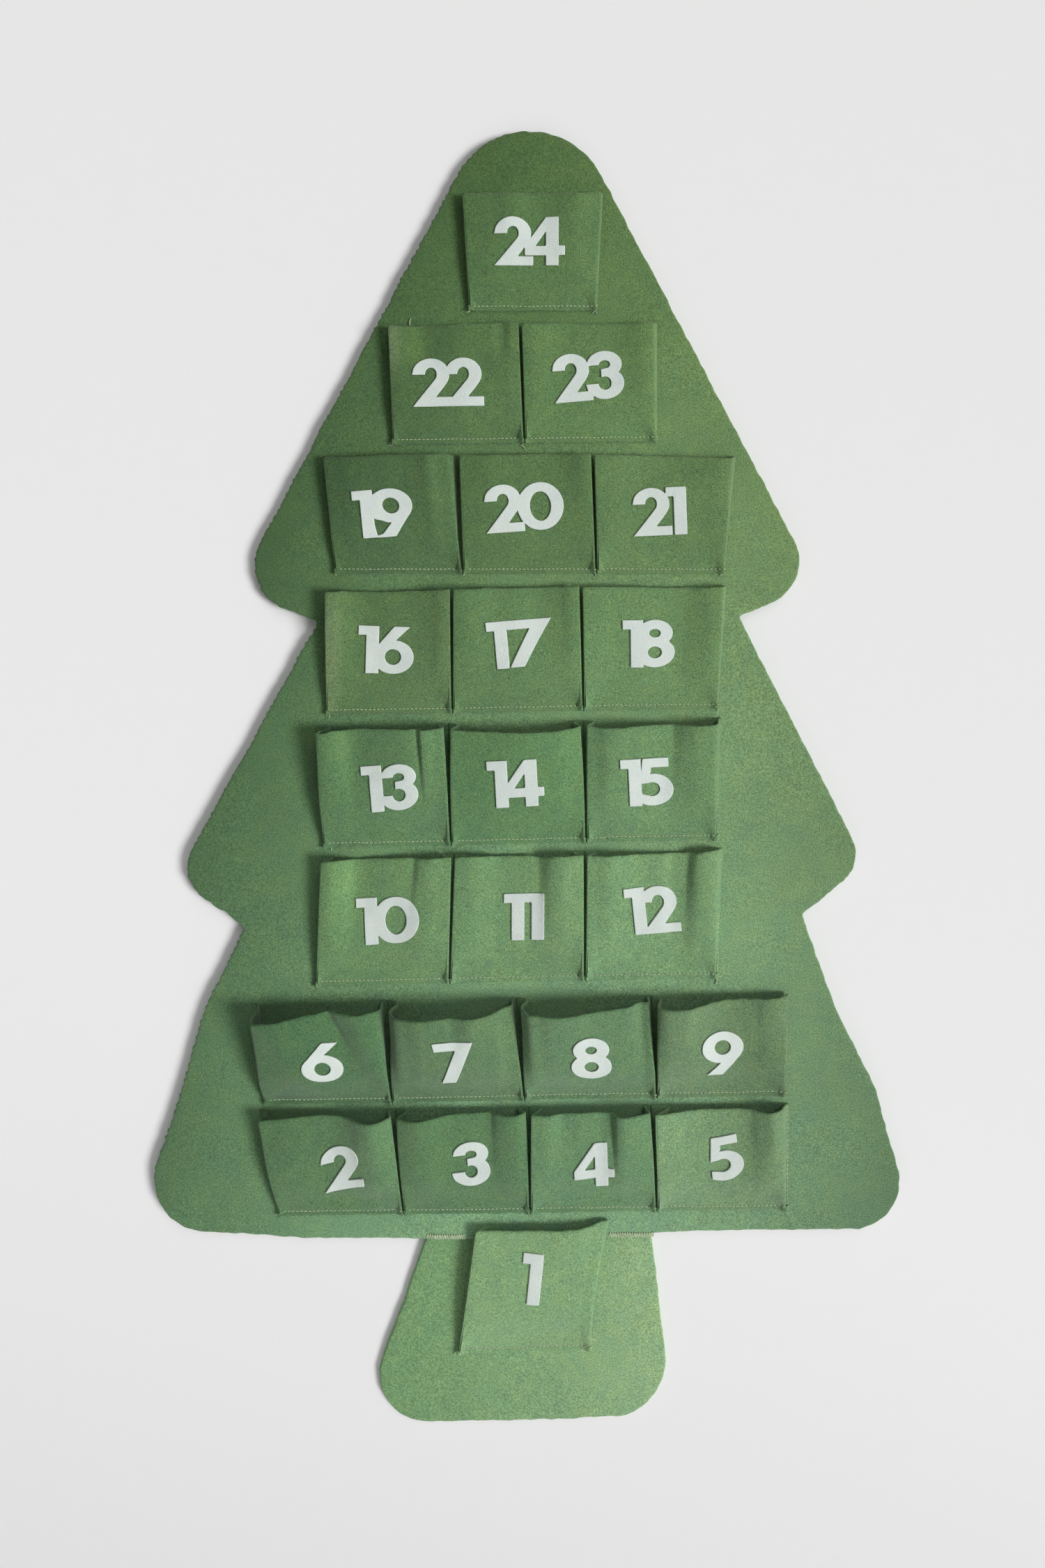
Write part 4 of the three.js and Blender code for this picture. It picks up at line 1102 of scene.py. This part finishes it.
def cap_loops(node):
    """The closed outlines of a flat CAD piece's front face, in millimetres. The piece's least
    spread direction is its normal. The edges of the triangles that face the viewer and have no
    twin are its outline, and they are put in order by doubling steps along it."""
    mesh, points = node_mesh(node)
    corners = np.empty(len(mesh.loops), dtype=int)
    mesh.loops.foreach_get("vertex_index", corners)
    points, merged = np.unique(np.round(points, 3), axis=0, return_inverse=True)
    triangles = merged.reshape(-1)[corners].reshape(-1, 3)
    spread_out = np.linalg.eigh(np.cov((points - points.mean(axis=0)).T))
    facing = spread_out[1][:, 0] * -np.sign(spread_out[1][1, 0])
    a, b, c = (points[triangles[:, k]] for k in range(3))
    normal = unit(np.cross(b - a, c - a))
    cap = triangles[normal @ facing > 0.9]
    edges = np.concatenate([cap[:, [0, 1]], cap[:, [1, 2]], cap[:, [2, 0]]])
    code = edges[:, 0] * len(points) + edges[:, 1]
    twin = edges[:, 1] * len(points) + edges[:, 0]
    edges = edges[~np.isin(code, twin)]
    following = np.arange(len(points))
    following[edges[:, 0]] = edges[:, 1]
    loops = []
    left = set(edges[:, 0].tolist())
    while left:
        start = min(left)
        order, jump = np.array([start]), following
        while not (order[1:] == start).any():
            order = np.concatenate([order, jump[order]])
            jump = jump[jump]
        order = order[:1 + np.flatnonzero(order[1:] == start)[0]]
        left -= set(order.tolist())
        loops.append(points[order][:, [0, 2]])
    return loops


# A corner of a die-cut outline that turns by more than this stays sharp
SHARP = np.radians(35.0)


def eased(loop, pitch):
    """A loop of straight cuts made round where it turns a little, and kept sharp where it turns
    a lot. Each cut becomes a cubic whose ends run along the mean direction of the cuts that
    meet there, longer ones counting more, or along the cut itself at a sharp corner."""
    cut = np.roll(loop, -1, axis=0) - loop
    long = np.linalg.norm(cut, axis=1, keepdims=True)
    way = cut / long
    before, long_before = np.roll(way, 1, axis=0), np.roll(long, 1, axis=0)
    mean = unit(before * long_before + way * long)
    turned = np.arccos(np.clip((before * way).sum(axis=1, keepdims=True), -1.0, 1.0))
    leave = np.where(turned > SHARP, way, mean)
    arrive = np.roll(np.where(turned > SHARP, before, mean), -1, axis=0)
    t = np.linspace(0.0, 1.0, 12, endpoint=False)[:, None]
    start, end = loop[:, None], np.roll(loop, -1, axis=0)[:, None]
    curve = ((2 * t ** 3 - 3 * t ** 2 + 1) * start + (t ** 3 - 2 * t ** 2 + t) * (leave * long)[:, None]
             + (3 * t ** 2 - 2 * t ** 3) * end + (t ** 3 - t ** 2) * (arrive * long)[:, None])
    return spread(curve.reshape(-1, 2), pitch)


class CALENDAR_OT_loop(bpy.types.Operator):
    """Cut the hanging loop behind the tip"""

    bl_idname = "calendar.loop"
    bl_label = "Hanging loop"

    def execute(self, context):
        sizes = context.scene.calendar_sizes
        base = context.scene.calendar_colours.tree
        loops = [eased(loop, LOOP_PITCH) for loop in cap_loops("hanging_loop")]
        low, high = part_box("hanging_loop")
        points, blocks = cut_felt(loops, mm(sizes.loop_felt), LOOP_GRID)
        x, z, behind = points.T
        placed = np.column_stack([x, low[1] * 1000.0 + behind, z])
        # The loop's colour carries the painted light of the tree there
        piece = new_mesh("hanging_loop_felt", placed, blocks, material("tree_felt"),
                         dye_with_painted_light(x, z, base, LOOP_SHADE))
        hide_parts("hanging_loop")
        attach(piece, "backing")
        loops.sort(key=shape_area, reverse=True)
        declare_cut(loops[0], holes=loops[1:])
        return {"FINISHED"}


# Points of a hem: how far apart they are, more of them near each fold, the least distance kept,
# and their heights. Then the depth and half width of the slit between two pockets.
HEM_PITCH = 1.5
HEM_NEAR = np.linspace(-4.0, 4.0, 21)
HEM_LEAST = 0.15
HEM_LEVELS = (0.0, 0.6, 1.2, 1.9, 2.5, SEAM_RISE)
SLIT_DEPTH = 1.8
SLIT_SPREAD = 0.5


class CALENDAR_OT_hems(bpy.types.Operator):
    """Lay the sewn-down hem of each strip"""

    bl_idname = "calendar.hems"
    bl_label = "Strip hems"

    def execute(self, context):
        sizes = context.scene.calendar_sizes
        base = context.scene.calendar_colours.pocket
        thick = mm(sizes.pocket_felt)
        for strip in read_strips():
            left, right, folds = strip.foot[0] + FOLD_GAP, strip.end, strip.folds
            slits = np.array(strip.foot[1:-1], dtype=float)
            near = np.concatenate([fold + HEM_NEAR for fold in folds])
            columns = np.concatenate([np.arange(left, right, HEM_PITCH), near, [left, right]])
            columns = np.unique(np.round(columns, 2))
            columns = columns[(columns >= left) & (columns <= right)]
            columns = columns[np.concatenate([[True], np.diff(columns) > HEM_LEAST])][None]
            rise = np.array(HEM_LEVELS)[:, None]
            apart = np.min([np.abs(columns - fold) for fold in folds], axis=0)
            depth = stack(apart) + rise * 0.0
            for slit in slits:
                depth = depth - SLIT_DEPTH * np.exp(-(((columns - slit) / SLIT_SPREAD) ** 2))
            depth = depth - SEAM_PULL * np.exp(-(((rise - SEAM_RISE) / SEAM_PULL_SPREAD) ** 2))
            # The hem's colour carries painted light and its pockets' painted shade, blended between
            # their middles
            shade = np.array([POCKET_PAINTED_SHADES[day] for day in strip.days])
            centres = (np.array(strip.foot[1:]) + np.array(strip.foot[:-1])) / 2.0
            wave = 0.4 * ripple(columns, columns * 0.0, 12.0, 400 + strip.days[0])
            wave = wave + 0.25 * ripple(columns, columns * 0.0, 4.0, 500 + strip.days[0])
            z = strip.bottom + rise + wave * (1.0 - rise / SEAM_RISE) + lift(strip, columns)
            outer = to_points(strip, columns, depth, z)
            points, blocks = closed_cloth(outer, thick)
            x, _, z = points.T
            shade = np.stack([np.interp(x, centres, part) for part in shade.T], axis=1)
            dye_and_painted_light = dye_with_painted_light(x, z, base, shade)
            piece = new_mesh(f"hem_{strip.name}", points, blocks, material("tree_felt"), dye_and_painted_light)
            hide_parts(f"strip_band_{strip.name}")
            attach(piece, "backing")
        return {"FINISHED"}


class CALENDAR_OT_pockets(bpy.types.Operator):
    """Fold the 24 pockets, each sewn along its seam and at its gussets' edges"""

    bl_idname = "calendar.pockets"
    bl_label = "Pockets"

    def execute(self, context):
        sizes = context.scene.calendar_sizes
        base = context.scene.calendar_colours.pocket
        thick = mm(sizes.pocket_felt)
        for strip in read_strips():
            for pocket in strip.pockets:
                section = pocket_section(pocket)
                outer = to_points(strip, section[..., 0], section[..., 1], section[..., 2])
                points, blocks = closed_cloth(outer, thick)
                x, _, z = points.T
                # The pocket's colour carries painted light, its painted shade, and pale places that are
                # partly worn and partly painted sheen
                dye_and_painted_light = dye_with_painted_light(x, z, base, POCKET_PAINTED_SHADES[pocket.day]) * worn_and_sheen(pocket, x, z)
                day = f"{pocket.day:02d}"
                piece = new_mesh(f"pocket_felt_{day}", points, blocks, material("pocket_felt"),
                                 dye_and_painted_light, points)
                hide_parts(f"pocket_{day}")
                near = strip.face - BLEND_START
                far = near - BLEND_SHARE * sum(pocket.out) / 2.0
                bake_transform(piece)
        return {"FINISHED"}


def plane_terms(x, z):
    """x, height and one for each point, which the three shares of a plane are multiplied by."""
    return np.stack([x, z, np.ones(len(x))], axis=-1)


def cap_plane(node, face):
    """How far a flat CAD piece's front stands out, in millimetres, as the three shares of a plane
    in x and height: the flattest plane through its corners, moved out to the foremost one."""
    points = node_mesh(node)[1]
    known = plane_terms(points[:, 0], points[:, 2])
    out = face - points[:, 1]
    shares = np.linalg.lstsq(known, out, rcond=None)[0]
    shares[2] += (out - known @ shares).max()
    return shares


def leaning(loops, day):
    """Outlines with the second digit leant: x grows by the height's share of the top's way,
    rising evenly from its start to the right end, and by the rest of the foot's way, rising
    evenly over its short start."""
    if day not in LEANING:
        return loops
    widen, start, width, top, foot, whole = LEANING[day]
    points = np.concatenate(loops)
    low, size = points.min(axis=0), np.ptp(points, axis=0)
    leant = []
    for loop in loops:
        across, up = ((loop - low) / size).T
        more = up * top * np.clip((across - widen) / (1.0 - widen), 0.0, 1.0)
        more = more + (1.0 - up) * foot * np.clip((across - start) / width, 0.0, 1.0) + whole
        leant.append(loop + np.stack([more, 0.0 * more], axis=-1))
    return leant


def slid(loops, pocket, plane_shares, thick):
    """Outlines moved so that, seen from the eye, they stay where they were cut although the
    front now lies deeper or further out: each point goes away from the eye's line by its
    distance from it times the change of depth over the eye's distance. The change is smoothed
    to a plane in x and height."""
    points = np.concatenate(loops)
    known = plane_terms(points[:, 0], points[:, 1])
    now = depth_at(pocket, points[:, 0], points[:, 1]) + NUMBER_GAP + thick
    change = np.linalg.lstsq(known, known @ plane_shares - now, rcond=None)[0]
    moved = []
    for loop in loops:
        known = plane_terms(loop[:, 0], loop[:, 1])
        moved.append(loop + (loop - EYE) * (known @ change / EYE_DISTANCE)[:, None])
    return moved


class CALENDAR_OT_numbers(bpy.types.Operator):
    """Lay a die-cut felt number on each pocket"""

    bl_idname = "calendar.numbers"
    bl_label = "Numbers"

    def execute(self, context):
        sizes = context.scene.calendar_sizes
        base = np.array(context.scene.calendar_colours.number)
        thick = mm(sizes.number_felt)
        for strip in read_strips():
            for pocket in strip.pockets:
                day = f"{pocket.day:02d}"
                loops = [eased(loop, DIGIT_PITCH) for loop in cap_loops(f"number_{day}")]
                top = max(loop[:, 1].max() for loop in loops)
                taller = np.array([1.0, TALLER.get(pocket.day, 1.0)])
                loops = [(loop - [0.0, top]) * taller + [0.0, top] for loop in loops]
                loops = leaning(loops, pocket.day)
                loops = slid(loops, pocket, cap_plane(f"number_{day}", strip.face), thick)
                points, blocks = cut_felt(loops, thick, DIGIT_GRID)
                x, z, behind = points.T
                depth = depth_at(pocket, x, z) + NUMBER_GAP + thick - behind
                placed = to_points(strip, x, depth, z)
                dye_and_painted_light = np.broadcast_to(base, placed.shape)
                piece = new_mesh(f"number_felt_{day}", placed, blocks, material("number_felt"),
                                 dye_and_painted_light)
                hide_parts(f"number_{day}")
                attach(piece, f"day_{day}")
        return {"FINISHED"}


# How far the seam's stitches keep from its ends and from a slit, and how deep they sink, then
# how far the sewn edge's keep from its ends and lie in from it and off the felt
SEAM_ENDS = (1.2, 0.9)
SLIT_CLEAR = 0.9
SEAM_SUNK = 0.13
SIDE_ENDS = (2.0, 1.5)
SIDE_INSET = 0.9
SIDE_OFF = 0.1


class CALENDAR_OT_stitching(bpy.types.Operator):
    """Sew the strips, their ends and the trunk with thread"""

    bl_idname = "calendar.stitching"
    bl_label = "Stitching"

    def execute(self, context):
        sizes = context.scene.calendar_sizes
        pitch, length = mm(sizes.stitch_pitch), mm(sizes.stitch_length)
        width = mm(sizes.thread)
        thread = material("thread")
        for strip in read_strips():
            left, right, folds = strip.foot[0] + FOLD_GAP, strip.end, strip.folds
            x = pitched(left + SEAM_ENDS[0], right - SEAM_ENDS[1], pitch)
            slit = np.min([np.abs(x - post) for post in strip.foot[1:-1]] or [x * 0 + 9], axis=0)
            x = x[slit > SLIT_CLEAR]
            apart = np.min([np.abs(x - fold) for fold in folds], axis=0)
            z = strip.bottom + SEAM_RISE + lift(strip, x) + 0.2 * ripple(x, x * 0.0, 30.0, 61)
            middle = to_points(strip, x, stack(apart) - SEAM_SUNK, z)
            parts = [stitches(middle, (1.0, 0.0, 0.0), length, width)]
            seam, mouth = strip.bottom + SEAM_RISE, strip.bottom + strip.height
            if strip.allowance > 0.0:
                height = pitched(seam + SIDE_ENDS[0], mouth - SIDE_ENDS[1], pitch)
                share = (height - seam) / (mouth - seam)
                side = mix(strip.end, strip.end_mouth, share) - SIDE_INSET
                middle = to_points(strip, side, side * 0.0 + POCKET_FELT + SIDE_OFF,
                                   height + lift(strip, side))
                parts.append(stitches(middle, (0.0, 0.0, 1.0), length, width))
            parts.append(tails(strip.face, np.array(loose_ends(strip)), width))
            points, blocks = gather(parts)
            piece = new_mesh(f"stitches_{strip.name}", points, blocks, thread)
            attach(piece, "backing")
        points, blocks = zigzag(width)
        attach(new_mesh("stitches_trunk_top", points, blocks, thread), "backing")
        return {"FINISHED"}


# The stage in metres: the wall and the floor, their colours, the sky's, the suns with their
# strength, width and turn in degrees, and the camera
WALL_BEHIND = 0.001
WALL_TOP = 3.0
WALL_HALF = 4.0
FLOOR_HEIGHT = -1.9
FLOOR_HALF = 3.0
WALL_WHITE = (0.80, 0.80, 0.80, 1.0)
FLOOR_WHITE = (0.80, 0.80, 0.79, 1.0)
FLOOR_GLOW = 0.6
SKY_WHITE = (1.0, 1.0, 1.0, 1.0)
SKY_STRENGTH = 0.15
SKY_SEEN = (0.83, 0.83, 0.83, 1.0)
SUNS = (
    ("key", 3.12, 22.0, (97.0, 0.0, 50.0)), ("fill", 0.64, 35.0, (48.0, 0.0, 25.0)),
    ("rear", 1.1, 40.0, (55.0, 0.0, 200.0)),
)
CAMERA_PLACE = (-0.0032, -0.6413, -0.247)
LENS_LENGTH = 20.9
LENS_SHIFT = -0.16
# Corners of a sheet as shares of its half width and of its other side
SHEET_CORNERS = ((-1.0, 0.0), (1.0, 0.0), (1.0, 1.0), (-1.0, 1.0))


def plane(name, corners, surface, shades=True):
    """A sheet of the stage, which may be kept from casting a shadow."""
    mesh = bpy.data.meshes.new(name)
    mesh.from_pydata(corners, [], [(0, 1, 2, 3)])
    mesh.materials.append(surface)
    sheet = bpy.data.objects.new(name, mesh)
    sheet.visible_shadow = shades
    bpy.context.scene.collection.objects.link(sheet)
    return sheet


class CALENDAR_OT_stage(bpy.types.Operator):
    """Set the wall, the floor, the lights and the camera"""

    bl_idname = "calendar.stage"
    bl_label = "Stage"

    def execute(self, context):
        scene = context.scene
        scene.view_settings.view_transform = "Standard"
        wall = Nodes("calendar_wall", 1.0)
        wall.shader.inputs["Base Color"].default_value = WALL_WHITE
        wall.shader.inputs["Specular IOR Level"].default_value = 0.0
        behind = wall.add("ShaderNodeNewGeometry").outputs["Backfacing"]
        wall.end_in(behind, wall.add("ShaderNodeBsdfTransparent").outputs[0])
        plane("wall", [(x * WALL_HALF, WALL_BEHIND, mix(FLOOR_HEIGHT, WALL_TOP, up))
                       for x, up in SHEET_CORNERS], wall.material, shades=False)
        ground = Nodes("calendar_floor", 0.9)
        ground.shader.inputs["Base Color"].default_value = FLOOR_WHITE
        glow = ground.add("ShaderNodeEmission", {"Color": FLOOR_WHITE}).outputs[0]
        looked = ground.add("ShaderNodeLightPath").outputs["Is Camera Ray"]
        ground.end_in(ground.maths("MULTIPLY", looked, FLOOR_GLOW), glow)
        plane("floor", [(x * FLOOR_HALF, mix(-FLOOR_HALF, FLOOR_HALF, back), FLOOR_HEIGHT)
                        for x, back in SHEET_CORNERS], ground.material)
        for name, strength, angle, turn in SUNS:
            sun = bpy.data.lights.new(name, "SUN")
            sun.energy = strength
            sun.angle = np.radians(angle)
            lamp = bpy.data.objects.new(name, sun)
            lamp.rotation_euler = [np.radians(part) for part in turn]
            scene.collection.objects.link(lamp)
        world = bpy.data.worlds.new("calendar_world")
        scene.world = world
        world.use_nodes = True
        sky = world.node_tree
        light = sky.nodes["Background"]
        light.inputs["Color"].default_value = SKY_WHITE
        light.inputs["Strength"].default_value = SKY_STRENGTH
        pale = sky.nodes.new("ShaderNodeBackground")
        pale.inputs["Color"].default_value = SKY_SEEN
        ray = sky.nodes.new("ShaderNodeLightPath")
        choose = sky.nodes.new("ShaderNodeMixShader")
        sky.links.new(ray.outputs["Is Camera Ray"], choose.inputs["Fac"])
        sky.links.new(light.outputs[0], choose.inputs[1])
        sky.links.new(pale.outputs[0], choose.inputs[2])
        sky.links.new(choose.outputs[0], sky.nodes["World Output"].inputs["Surface"])
        lens = bpy.data.cameras.new("view")
        lens.lens = LENS_LENGTH
        lens.shift_y = LENS_SHIFT
        camera = bpy.data.objects.new("view", lens)
        camera.location = CAMERA_PLACE
        camera.rotation_euler = (np.pi / 2.0, 0.0, 0.0)
        scene.collection.objects.link(camera)
        scene.camera = camera
        return {"FINISHED"}


class CALENDAR_PT_panel(bpy.types.Panel):
    """Sizes, colours and pieces of the felt calendar"""

    bl_idname = "CALENDAR_PT_panel"
    bl_label = "Felt calendar"
    bl_space_type = "VIEW_3D"
    bl_region_type = "UI"
    bl_category = "Felt calendar"

    def draw(self, context):
        for group in (context.scene.calendar_sizes, context.scene.calendar_colours):
            for name in group.__annotations__:
                self.layout.prop(group, name)
        for operator in OPERATORS:
            self.layout.operator(operator.bl_idname)


OPERATORS = (
    CALENDAR_OT_loop, CALENDAR_OT_hems, CALENDAR_OT_numbers, CALENDAR_OT_pockets,
    CALENDAR_OT_stitching, CALENDAR_OT_backing, CALENDAR_OT_stage,
)
CLASSES = (CALENDAR_PG_sizes, CALENDAR_PG_colours) + OPERATORS + (CALENDAR_PT_panel,)


def register():
    for cls in CLASSES:
        bpy.utils.register_class(cls)
    bpy.types.Scene.calendar_sizes = PointerProperty(type=CALENDAR_PG_sizes)
    bpy.types.Scene.calendar_colours = PointerProperty(type=CALENDAR_PG_colours)


def unregister():
    del bpy.types.Scene.calendar_colours
    del bpy.types.Scene.calendar_sizes
    for cls in reversed(CLASSES):
        bpy.utils.unregister_class(cls)


def main():
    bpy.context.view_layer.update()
    register()
    bpy.ops.calendar.loop()
    bpy.ops.calendar.hems()
    bpy.ops.calendar.numbers()
    bpy.ops.calendar.pockets()
    bpy.ops.calendar.stitching()
    bpy.ops.calendar.backing()
    bpy.ops.calendar.stage()


if __name__ == "__main__":
    main()
